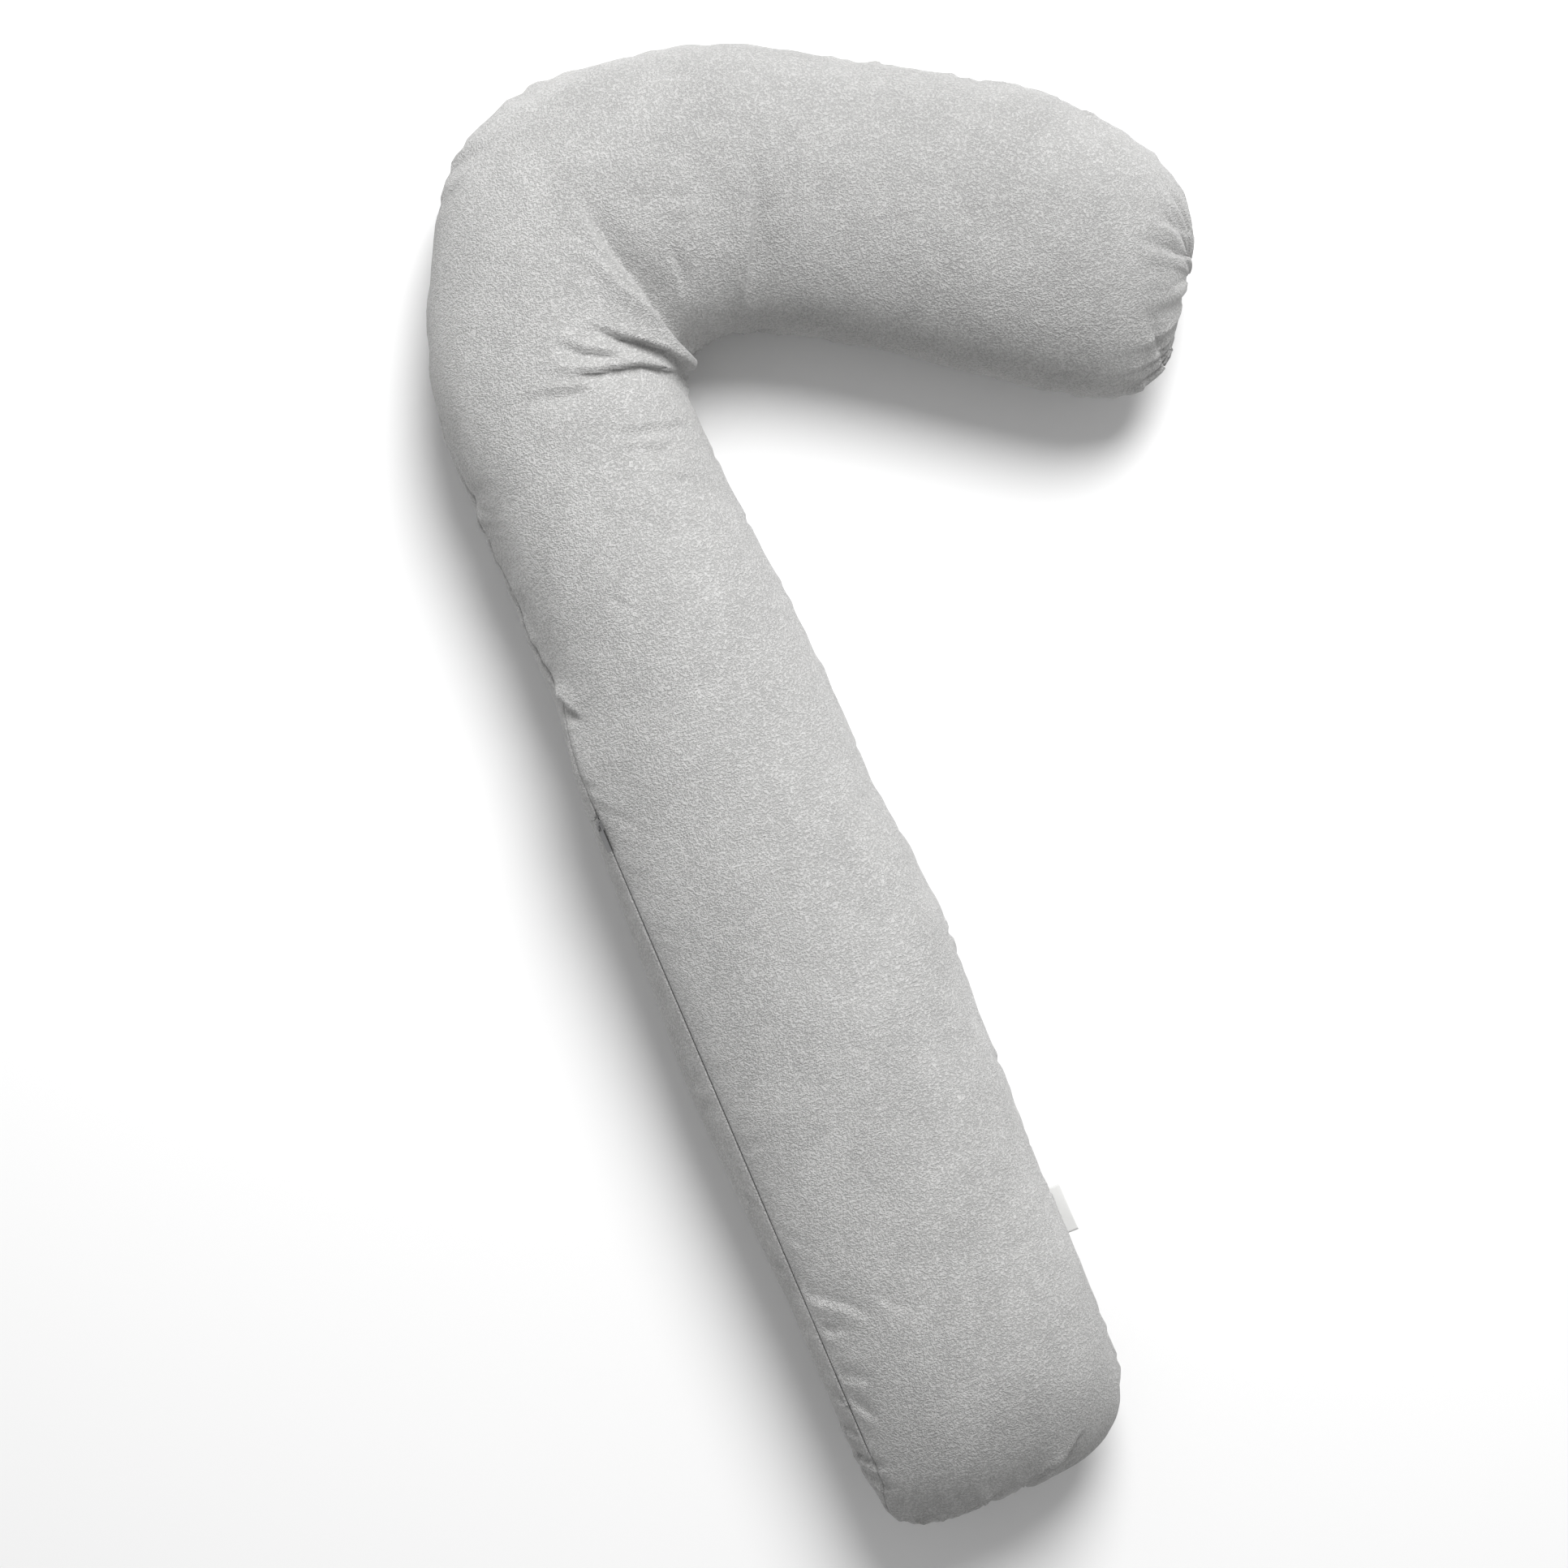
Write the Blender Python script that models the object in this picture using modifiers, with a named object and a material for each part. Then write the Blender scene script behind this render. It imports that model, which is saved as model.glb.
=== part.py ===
"""A J-shaped nursing and pregnancy pillow with a zip-off velour cover, as separate pieces in metres.

The pillow lies on its back panel, +Z up. Its long arm runs along Y, its hook is at +Y and turns over to
+X, and the zip is in the straight seam on the arm's outer side, at -X. The origin is under the middle of the
outline.
"""

import math

import bmesh
import bpy
from mathutils import Matrix, Vector

# Outline of the stuffed pillow, seen from above.
ARM_LENGTH = 1.033  # from the foot end to where the hook starts to bend
HALF_WIDTH = 0.131  # of the arm and of the hook
BEND_RADIUS = 0.169  # of the middle line round the hook
BEND_TURN = math.radians(125)
LOBE_LENGTH = 0.372  # from the end of the bend to the tip
ELBOW_CROWN = 0.042  # how much further the cover stands out on the outside of the bend
ELBOW_AT = math.radians(65)  # where on the bend the crown is highest
ELBOW_SPREAD = math.radians(20)
NECK = 0.020  # how much narrower each side is where the arm runs into the bend
NECK_RISE = 0.11  # lengths over which the neck draws in past the zip, and swells again in the bend
NECK_FALL = 0.15
NECK_END = 0.13  # from the start of the bend to where the neck ends
FOOT_ROUND = 0.075  # length over which the foot end rounds in
TIP_ROUND_OUTER = 0.200  # the tip rounds in slowly on the hook's outer side
TIP_ROUND_INNER = 0.080
FOOT_SQUARE = 2.9  # a higher power makes a squarer end
TIP_SQUARE = 2.3
FOOT_FLAT = 0.34  # share of the half width that runs straight across the foot end
TIP_FLAT_OUTER = 0.12
TIP_FLAT_INNER = 0.50

# Section of the stuffed pillow.
HEIGHT = 0.172
WIDEST_Z = 0.078  # height of the widest level
BULGE_POWER = 2.2
FLOOR_FLAT = 1.24  # the round section is cut flat at the floor, this much above its lowest point
END_SWELL = 0.125  # length over which each end swells to the full height
END_SHIFT = 0.050  # length over which the inner layers draw back from each end

# The seam between the two cover panels, as an angle above the widest level.
ZIP_SEAM_ANGLE = math.radians(31)
HOOK_SEAM_ANGLE = math.radians(4)
INNER_SEAM_ANGLE = math.radians(-6)
SEAM_GAP = 0.0020
SEAM_BLEND_FOOT = 0.10  # lengths over which the seam changes height past the zip's ends
SEAM_BLEND_HOOK = 0.30

# Layers, from the outside in.
COVER_WALL = 0.0018
COVER_TO_LINER = 0.0010
LINER_WALL = 0.0008
LINER_TO_FILL = 0.0006
ZIP_ROOM = 0.0070  # how much further in the liner lies behind the zip

# The zip. Its coils lie inside the cover.
ZIP_LENGTH = 0.570
ZIP_FOOT = 0.142  # from the foot end to the zip's lower end
ZIP_STRAIGHT = 0.020  # seam that is kept straight past each end of the zip
TAPE_START = 0.0014  # from the seam line to the tape's edge
TAPE_WIDTH = 0.013
TAPE_THICK = 0.0005
TAPE_GAP = 0.0004
COIL_RADIUS = 0.0011
COIL_GAP = 0.0004  # from the coil to the tape, and from the coil to the slider

# The slider, its bail and its pull.
SLIDER_LENGTH = 0.0100
SLIDER_WALL = 0.0010
BRIDGE_THICK = 0.0008
BRIDGE_LENGTH = 0.0044
CROWN_GAP = 0.0004
CROWN_WIDTH = 0.0056
CROWN_THICK = 0.0011
BAIL_WIRE = 0.0010
BAIL_LENGTH = 0.0062
BAIL_RISE = 0.0026
PULL_LENGTH = 0.0260
PULL_WIDTH = 0.0068
PULL_THICK = 0.0012
PULL_EYE_LENGTH = 0.0042
PULL_EYE_WIDTH = 0.0034
STOP_LENGTH = 0.0030
STOP_GAP = 0.0006
TACK_WIRE = 0.0006
TACK_WIDTH = 0.0090
TACK_CLEAR = 0.0003

# Labels and threads.
LABEL_LENGTH = 0.045  # along the seam
LABEL_OUT = 0.010
LABEL_SEWN = 0.0022
LABEL_THICK = 0.0007  # a folded ribbon, two layers
LABEL_FROM_FOOT = 0.196
CARE_LENGTH = 0.032
CARE_WIDTH = 0.045
CARE_THICK = 0.0003
CARE_FROM_FOOT = 0.560
THREAD_RADIUS = 0.0003
THREAD_SIDES = 1  # bevel resolution, six sides
CLOSING_LENGTH = 0.120  # the hand-sewn slot that the filling went in through
CLOSING_FROM_BEND = 0.060

COLUMNS = 10  # facets across each panel
VELOUR = (0.56, 0.55, 0.54)
LINER_WHITE = (0.82, 0.82, 0.80)
FIBRE_WHITE = (0.88, 0.88, 0.86)
THREAD_GREY = (0.48, 0.47, 0.46)
ZIP_GREY = (0.42, 0.42, 0.42)
METAL = (0.62, 0.62, 0.63)
LABEL_WHITE = (0.90, 0.90, 0.89)

BEND_LENGTH = BEND_RADIUS * BEND_TURN
SPINE_LENGTH = ARM_LENGTH + BEND_LENGTH + LOBE_LENGTH
ZIP_TOP = ZIP_FOOT + ZIP_LENGTH
LINER_INSET = COVER_WALL + COVER_TO_LINER
FILL_INSET = LINER_INSET + LINER_WALL + LINER_TO_FILL
FULL_TURN = 2.0 * math.pi
ALONG = Vector((0.0, 1.0, 0.0))


def smooth(value):
    value = min(1.0, max(0.0, value))
    return value * value * (3.0 - 2.0 * value)


def spine(s):
    """Point on the middle line s metres from the foot end, and the direction to the outer side there."""
    turn = min(max(0.0, s - ARM_LENGTH), BEND_LENGTH) / BEND_RADIUS
    side = Vector((-math.cos(turn), math.sin(turn)))
    along = Vector((math.sin(turn), math.cos(turn)))
    point = Vector((BEND_RADIUS, ARM_LENGTH)) + side * BEND_RADIUS
    before = min(0.0, s - ARM_LENGTH)
    past = max(0.0, s - ARM_LENGTH - BEND_LENGTH)
    return point + along * (before + past), side


def opening(d, flat, length, power):
    """How far the outline has opened d metres in from an end: the flat share there, 1 past the rounding."""
    left = 1.0 - min(1.0, max(0.0, d / length))
    return flat + (1.0 - flat) * (1.0 - left**power) ** (1.0 / power)


def swell(d):
    """How far the section has swollen d metres in from an end seam."""
    left = 1.0 - min(1.0, max(0.0, d / END_SWELL))
    return (1.0 - left**BULGE_POWER) ** (1.0 / BULGE_POWER)


def elbow(s):
    """Extra half width on the outside of the bend."""
    turn = (s - ARM_LENGTH) / BEND_RADIUS
    return ELBOW_CROWN * math.exp(-(((turn - ELBOW_AT) / ELBOW_SPREAD) ** 2))


def neck(s):
    """How much the half width draws in where the arm runs into the bend."""
    rising = smooth((s - ZIP_TOP - ZIP_STRAIGHT) / NECK_RISE)
    falling = smooth((ARM_LENGTH + NECK_END - s) / NECK_FALL)
    return NECK * rising * falling


def along_zip(s):
    """1 along the zip, falling to 0 past its ends."""
    below = (ZIP_FOOT - ZIP_STRAIGHT - s) / SEAM_BLEND_FOOT
    above = (s - ZIP_TOP - ZIP_STRAIGHT) / SEAM_BLEND_HOOK
    return 1.0 - smooth(max(below, above))


def outer_seam_angle(s):
    return HOOK_SEAM_ANGLE + (ZIP_SEAM_ANGLE - HOOK_SEAM_ANGLE) * along_zip(s)


def skin_point(s, angle, column, inset):
    """Point of a layer at s along the spine and at an angle round the section.

    The angle is 0 at the widest level on the inner side and half a turn on the outer side. The column runs
    from -1 on the inner seam to 1 on the outer one. The inset is how far the layer lies under the surface.
    """
    near_foot = 1.0 - smooth(s / END_SHIFT)
    near_tip = 1.0 - smooth((SPINE_LENGTH - s) / END_SHIFT)
    s += inset * (near_foot - near_tip)
    from_foot = s - inset
    from_tip = SPINE_LENGTH - inset - s
    swollen = min(swell(from_foot), swell(from_tip))
    across = math.copysign(abs(math.cos(angle)) ** (2.0 / BULGE_POWER), -math.cos(angle))
    across = swollen * across + (1.0 - swollen) * column
    tip_flat = TIP_FLAT_OUTER if across > 0.0 else TIP_FLAT_INNER
    tip_round = TIP_ROUND_OUTER if across > 0.0 else TIP_ROUND_INNER
    at_foot = opening(from_foot, FOOT_FLAT, FOOT_ROUND, FOOT_SQUARE)
    opened = min(at_foot, opening(from_tip, tip_flat, tip_round, TIP_SQUARE))
    half = HALF_WIDTH - inset - neck(s) + (elbow(s) if across > 0.0 else 0.0)
    rise = math.copysign(abs(math.sin(angle)) ** (2.0 / BULGE_POWER), math.sin(angle))
    room = HEIGHT - WIDEST_Z if rise > 0.0 else WIDEST_Z
    z = WIDEST_Z + swollen * max(-1.0, FLOOR_FLAT * rise if rise < 0.0 else rise) * (room - inset)
    point, side = spine(s)
    flat = point + side * (half * opened * across)
    return Vector((flat.x, flat.y, z))


def stations():
    """Places along the spine where the skin has a row of points."""
    end = [0.0, 0.006, 0.018, 0.036, 0.058, 0.080, 0.102]
    bend_end = ARM_LENGTH + BEND_LENGTH
    last = SPINE_LENGTH - end[-1]
    zip_rows, arm_rows, bend_rows, lobe_rows = 5, 4, 10, 4
    rows = end + [ZIP_FOOT - ZIP_STRAIGHT]
    rows += [ZIP_FOOT + ZIP_LENGTH * k / zip_rows for k in range(zip_rows)]
    rows += [ZIP_TOP + 0.001]
    above = ZIP_TOP + ZIP_STRAIGHT
    rows += [above + (ARM_LENGTH - above) * k / arm_rows for k in range(arm_rows)]
    rows += [ARM_LENGTH + BEND_LENGTH * k / bend_rows for k in range(bend_rows + 1)]
    rows += [bend_end + (last - bend_end) * k / lobe_rows for k in range(1, lobe_rows)]
    return rows + [SPINE_LENGTH - d for d in reversed(end)]


def panel_row(front, s, inset, room=0.0):
    """Points across one panel from its inner seam to its outer seam, deeper by the room behind the zip."""
    outer = math.pi - outer_seam_angle(s)
    span = outer - INNER_SEAM_ANGLE if front else outer - FULL_TURN - INNER_SEAM_ANGLE
    row = []
    for k in range(COLUMNS + 1):
        share = k / COLUMNS
        angle = INNER_SEAM_ANGLE + span * share
        deep = inset + room * along_zip(s) * smooth(2.0 * share - 1.0)
        row.append(skin_point(s, angle, 2.0 * share - 1.0, deep))
    return row


def panel_rows(front, inset, room, gap):
    """All the rows of one panel, with its edges drawn back from the seam by half the gap."""
    rows = []
    for s in stations():
        row = panel_row(front, s, inset, room)
        for edge, beside in ((0, 1), (COLUMNS, COLUMNS - 1)):
            row[edge] += (row[beside] - row[edge]).normalized() * gap / 2.0
        flat = 1.0 - min(swell(s), swell(SPINE_LENGTH - s))
        for point in row:
            point.z += flat * (gap / 2.0 if front else -gap / 2.0)
        rows.append(row)
    return rows


def outline_centre():
    """Middle of the outline's box, which goes over the origin."""
    skin = [p for front in (True, False) for row in panel_rows(front, 0.0, 0.0, 0.0) for p in row]
    x = [p.x for p in skin]
    y = [p.y for p in skin]
    return Vector(((min(x) + max(x)) / 2.0, (min(y) + max(y)) / 2.0, 0.0))


def walk(row, start, stop):
    """Points along a row between two lengths from its first point."""
    marks = []
    done = 0.0
    for here, there in zip(row, row[1:]):
        step = (there - here).length
        for mark in (start, stop):
            if done <= mark < done + step:
                marks.append((mark, here.lerp(there, (mark - done) / step)))
        done += step
        if start < done < stop:
            marks.append((done, there))
    return [point for _, point in sorted(marks, key=lambda found: found[0])]


def ribbon(front, outer, first, last, start, width, inset):
    """Rows of a ribbon under one panel, along its outer or inner seam, between two places on the spine."""
    rows = []
    for s in (first, last):
        row = panel_row(front, s, inset)
        rows.append(walk(row[::-1] if outer else row, start, start + width))
    return rows


class Maker:
    """Makes objects in the pillow's collection and cutters in their own."""

    def __init__(self):
        self.pieces = bpy.data.collections.new("nursing_pillow")
        self.cutters = bpy.data.collections.new("cutters")
        bpy.context.scene.collection.children.link(self.pieces)
        bpy.context.scene.collection.children.link(self.cutters)
        self.shift = outline_centre()

    def material(self, name, colour, roughness, metallic=0.0):
        made = bpy.data.materials.new(name)
        made.use_nodes = True
        shader = made.node_tree.nodes["Principled BSDF"]
        shader.inputs["Base Color"].default_value = (*colour, 1.0)
        shader.inputs["Roughness"].default_value = roughness
        shader.inputs["Metallic"].default_value = metallic
        return made

    def add(self, name, bm, finish, matrix=None):
        mesh = bpy.data.meshes.new(name)
        bm.to_mesh(mesh)
        bm.free()
        thing = bpy.data.objects.new(name, mesh)
        self.pieces.objects.link(thing)
        thing.data.materials.append(finish)
        if matrix:
            thing.matrix_world = matrix
        return thing

    def loft(self, bm, rows, flip):
        grid = [[bm.verts.new(point - self.shift) for point in row] for row in rows]
        for low, high in zip(grid, grid[1:]):
            for k in range(len(low) - 1):
                ring = [low[k], low[k + 1], high[k + 1], high[k]]
                bm.faces.new(ring[::-1] if flip else ring)

    def cloth(self, name, rows, wall, finish, flip):
        """An open skin with the cloth's thickness inside it."""
        bm = bmesh.new()
        self.loft(bm, rows, flip)
        thing = self.add(name, bm, finish)
        thing.data.shade_smooth()
        thickness = thing.modifiers.new("Cloth", "SOLIDIFY")
        thickness.thickness = wall
        thickness.offset = -1.0
        return thing

    def panel(self, name, front, inset, room, wall, finish):
        return self.cloth(name, panel_rows(front, inset, room, SEAM_GAP), wall, finish, front)

    def filling(self, name, inset, finish):
        bm = bmesh.new()
        for front in (True, False):
            self.loft(bm, panel_rows(front, inset, ZIP_ROOM, 0.0), front)
        bmesh.ops.remove_doubles(bm, verts=bm.verts, dist=0.00001)
        thing = self.add(name, bm, finish)
        thing.data.shade_smooth()
        return thing

    def thread(self, name, points, finish):
        line = bpy.data.curves.new(name, "CURVE")
        line.dimensions = "3D"
        line.bevel_depth = THREAD_RADIUS
        line.bevel_resolution = THREAD_SIDES
        line.use_fill_caps = True
        run = line.splines.new("POLY")
        run.points.add(len(points) - 1)
        for target, point in zip(run.points, points):
            target.co = (*(point - self.shift), 1.0)
        thing = bpy.data.objects.new(name, line)
        self.pieces.objects.link(thing)
        line.materials.append(finish)
        return thing

    def box(self, name, low, high, finish, matrix):
        """A block between two corners in a local frame."""
        bm = bmesh.new()
        size = [b - a for a, b in zip(low, high)]
        middle = [(b + a) / 2.0 for a, b in zip(low, high)]
        place = Matrix.Translation(middle) @ Matrix.Diagonal((*size, 1.0))
        bmesh.ops.create_cube(bm, size=1.0, matrix=place)
        return self.add(name, bm, finish, matrix)

    def combine(self, thing, operation, low, high, matrix):
        """Cut a block from a piece or join one to it."""
        tool = self.box(thing.name + "_tool", low, high, thing.data.materials[0], matrix)
        self.pieces.objects.unlink(tool)
        self.cutters.objects.link(tool)
        tool.hide_render = True
        tool.display_type = "WIRE"
        step = thing.modifiers.new(operation.title(), "BOOLEAN")
        step.operation = operation
        step.solver = "EXACT"
        step.object = tool

    def soften(self, thing, width):
        edge = thing.modifiers.new("Edges", "BEVEL")
        edge.width = width
        edge.segments = 1
        edge.limit_method = "ANGLE"


def seam_loop(inset, room):
    """The seam line in four runs from the foot's outer corner, with each point's place on the spine."""
    rows = panel_rows(True, inset, room, 0.0)
    places = stations()
    outer = [(s, row[-1]) for s, row in zip(places, rows)]
    tip = [(SPINE_LENGTH, point) for point in rows[-1][-2:0:-1]]
    inner = [(s, row[0]) for s, row in zip(reversed(places), reversed(rows))]
    foot = [(0.0, point) for point in rows[0][1:-1]]
    return outer, tip, inner, foot


def at_place(line, place):
    """The point of a seam line at a place on the spine."""
    for (s, point), (later, beyond) in zip(line, line[1:]):
        if min(s, later) <= place <= max(s, later):
            return point.lerp(beyond, (place - s) / (later - s))
    raise ValueError("the place is not on this line")


def between(line, first, last):
    """The points of a seam line between two places on the spine, ends included."""
    low, high = min(first, last), max(first, last)
    middle = [point for s, point in line if low + 0.001 < s < high - 0.001]
    return [at_place(line, first)] + middle + [at_place(line, last)]


def seam_frame(shift, s, outer):
    """Matrix at a seam and its panels' tilt: X out of the cover, Y along the arm, Z across the seam.

    Z points down the back panel at the outer seam, and up the front panel at the inner one.
    """
    edge, beside = (-1, -2) if outer else (0, 1)
    front = panel_row(True, s, 0.0)
    back = panel_row(False, s, 0.0)
    seam = front[edge]
    up = (front[beside] - seam).normalized()
    rise = (up - (back[beside] - seam).normalized()).normalized()
    out = rise.cross(ALONG) if outer else ALONG.cross(rise)
    tilt = math.asin(-up.dot(out))
    turn = Matrix((out, ALONG, out.cross(ALONG))).transposed().to_4x4()
    return Matrix.Translation(Vector((seam.x, 0.0, seam.z)) - shift) @ turn, tilt


def make_cover(maker):
    velour = maker.material("grey_velour", VELOUR, 0.9)
    thread = maker.material("grey_thread", THREAD_GREY, 0.7)
    woven = maker.material("white_woven_tape", LABEL_WHITE, 0.8)
    satin = maker.material("white_satin_ribbon", LABEL_WHITE, 0.45)
    maker.panel("cover_front_panel", True, 0.0, 0.0, COVER_WALL, velour)
    maker.panel("cover_back_panel", False, 0.0, 0.0, COVER_WALL, velour)

    outer, tip, inner, foot = seam_loop(COVER_WALL / 2.0, 0.0)
    label_top = LABEL_FROM_FOOT + LABEL_LENGTH
    hook_run = between(outer, ZIP_TOP + ZIP_STRAIGHT, SPINE_LENGTH) + [point for _, point in tip]
    hook_run += between(inner, SPINE_LENGTH, label_top + 0.001)
    foot_run = between(inner, LABEL_FROM_FOOT - 0.001, 0.0) + [point for _, point in foot]
    foot_run += between(outer, 0.0, ZIP_FOOT - ZIP_STRAIGHT)
    maker.thread("cover_seam_thread_hook", hook_run, thread)
    maker.thread("cover_seam_thread_foot", foot_run, thread)

    frame, _ = seam_frame(maker.shift, LABEL_FROM_FOOT, False)
    low = (-LABEL_SEWN, LABEL_FROM_FOOT, -LABEL_THICK / 2.0)
    high = (LABEL_OUT, label_top, LABEL_THICK / 2.0)
    maker.box("brand_label", low, high, woven, frame)
    care_inset = COVER_WALL + (COVER_TO_LINER - CARE_THICK) / 2.0
    care_top = CARE_FROM_FOOT + CARE_LENGTH
    care = ribbon(False, False, CARE_FROM_FOOT, care_top, SEAM_GAP, CARE_WIDTH, care_inset)
    maker.cloth("care_label", care, CARE_THICK, satin, False)


def make_liner(maker):
    cotton = maker.material("white_liner_cloth", LINER_WHITE, 0.85)
    thread = maker.material("white_thread", LINER_WHITE, 0.7)
    fibre = maker.material("white_fibre", FIBRE_WHITE, 0.95)
    maker.panel("liner_front_panel", True, LINER_INSET, ZIP_ROOM, LINER_WALL, cotton)
    maker.panel("liner_back_panel", False, LINER_INSET, ZIP_ROOM, LINER_WALL, cotton)
    maker.filling("fibre_fill", FILL_INSET, fibre)

    outer, tip, inner, foot = seam_loop(LINER_INSET + LINER_WALL / 2.0, ZIP_ROOM)
    slot_top = ARM_LENGTH + BEND_LENGTH + CLOSING_FROM_BEND + CLOSING_LENGTH
    slot_low = slot_top - CLOSING_LENGTH
    run = between(inner, slot_low - 0.001, 0.0) + [point for _, point in foot]
    run += between(outer, 0.0, SPINE_LENGTH) + [point for _, point in tip]
    run += between(inner, SPINE_LENGTH, slot_top + 0.001)
    maker.thread("liner_seam_thread", run, thread)
    maker.thread("liner_closing_stitches", between(inner, slot_top, slot_low), thread)


def make_zip(maker):
    tape_grey = maker.material("grey_zip_tape", ZIP_GREY, 0.8)
    nylon = maker.material("grey_nylon_coil", ZIP_GREY, 0.4)
    metal = maker.material("zip_metal", METAL, 0.35, 1.0)
    thread = maker.material("tack_thread", THREAD_GREY, 0.7)
    frame, tilt = seam_frame(maker.shift, ZIP_FOOT + ZIP_LENGTH / 2.0, True)
    tape_inset = COVER_WALL + TAPE_GAP
    for side, front in (("front", True), ("back", False)):
        tape = ribbon(front, True, ZIP_FOOT, ZIP_TOP, TAPE_START, TAPE_WIDTH, tape_inset)
        maker.cloth(f"zip_tape_{side}", tape, TAPE_THICK, tape_grey, not front)

    coil_z = BRIDGE_THICK / 2.0 + COIL_GAP + COIL_RADIUS
    under_tape = (tape_inset + TAPE_THICK) / math.cos(tilt) + coil_z * math.tan(tilt)
    coil_x = -under_tape - (COIL_GAP + COIL_RADIUS) / math.cos(tilt)
    stop_x = (coil_x - COIL_RADIUS, coil_x + COIL_RADIUS)
    for side, way in (("front", -1.0), ("back", 1.0)):
        bm = bmesh.new()
        size = {"segments": 10, "radius1": COIL_RADIUS, "radius2": COIL_RADIUS, "depth": ZIP_LENGTH}
        turn = Matrix.Rotation(math.pi / 2.0, 4, "X")
        bmesh.ops.create_cone(bm, cap_ends=True, matrix=turn, **size)
        middle = Matrix.Translation((coil_x, ZIP_FOOT + ZIP_LENGTH / 2.0, way * coil_z))
        maker.add(f"zip_coil_{side}", bm, nylon, frame @ middle).data.shade_smooth()
        low = (stop_x[0], ZIP_TOP + STOP_GAP, way * coil_z - COIL_RADIUS)
        high = (stop_x[1], ZIP_TOP + STOP_GAP + STOP_LENGTH, way * coil_z + COIL_RADIUS)
        maker.box(f"zip_top_stop_{side}", low, high, metal, frame)
    low = (stop_x[0], ZIP_FOOT - STOP_GAP - STOP_LENGTH, -coil_z - COIL_RADIUS)
    high = (stop_x[1], ZIP_FOOT - STOP_GAP, coil_z + COIL_RADIUS)
    maker.box("zip_bottom_stop", low, high, metal, frame)
    for end, y in (("foot", ZIP_FOOT - STOP_LENGTH), ("hook", ZIP_TOP + STOP_LENGTH)):
        low = (TACK_CLEAR, y - TACK_WIRE / 2.0, -TACK_WIDTH / 2.0)
        high = (TACK_CLEAR + TACK_WIRE, y + TACK_WIRE / 2.0, TACK_WIDTH / 2.0)
        maker.box(f"zip_tack_{end}", low, high, thread, frame)
    make_slider(maker, frame, metal, coil_x, coil_z)


def make_slider(maker, frame, metal, coil_x, coil_z):
    """The slider holds both coils in a channel inside the cover. Its bridge passes out between the panels."""
    slider_y = ZIP_TOP - SLIDER_LENGTH / 2.0 - STOP_GAP
    at = frame @ Matrix.Translation((0.0, slider_y, 0.0))
    half = SLIDER_LENGTH / 2.0
    channel_x = coil_x - COIL_RADIUS - COIL_GAP
    channel_z = coil_z + COIL_RADIUS + COIL_GAP
    plate_x = channel_x - SLIDER_WALL
    plate_z = channel_z + SLIDER_WALL
    crown_top = CROWN_GAP + CROWN_THICK
    bail_top = crown_top + BAIL_RISE
    wire = BAIL_WIRE / 2.0
    slider = maker.box("zip_slider", (plate_x, -half, -plate_z), (coil_x, half, plate_z), metal, at)
    cut = (
        ("DIFFERENCE", (channel_x, -half * 2.0, -channel_z), (0.0, half * 2.0, channel_z)),
        ("UNION", (channel_x - wire, -BRIDGE_LENGTH / 2.0, -BRIDGE_THICK / 2.0),
         (CROWN_GAP + wire, BRIDGE_LENGTH / 2.0, BRIDGE_THICK / 2.0)),
        ("UNION", (CROWN_GAP, -half, -CROWN_WIDTH / 2.0), (crown_top, half, CROWN_WIDTH / 2.0)),
        ("UNION", (crown_top - wire, -BAIL_LENGTH / 2.0, -wire),
         (bail_top + BAIL_WIRE, BAIL_LENGTH / 2.0, wire)),
        ("DIFFERENCE", (crown_top, BAIL_WIRE - BAIL_LENGTH / 2.0, -BAIL_WIRE),
         (bail_top, BAIL_LENGTH / 2.0 - BAIL_WIRE, BAIL_WIRE)),
    )
    for operation, low, high in cut:
        maker.combine(slider, operation, low, high, at)

    hinge = at @ Matrix.Translation(((crown_top + bail_top) / 2.0, 0.0, 0.0))
    thick = PULL_THICK / 2.0
    low = (-thick, thick - PULL_LENGTH, -PULL_WIDTH / 2.0)
    pull = maker.box("zip_pull", low, (thick, thick, PULL_WIDTH / 2.0), metal, hinge)
    eye_low = (-PULL_THICK, -thick - PULL_EYE_LENGTH, -PULL_EYE_WIDTH / 2.0)
    maker.combine(pull, "DIFFERENCE", eye_low, (PULL_THICK, -thick, PULL_EYE_WIDTH / 2.0), hinge)
    maker.soften(pull, PULL_THICK / 5.0)


def main():
    for thing in list(bpy.data.objects):
        bpy.data.objects.remove(thing)
    maker = Maker()
    make_cover(maker)
    make_liner(maker)
    make_zip(maker)


main()
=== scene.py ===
"""A hook-shaped nursing pillow in a light grey velour cover, lying on its back panel on a pale floor."""

import math

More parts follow.
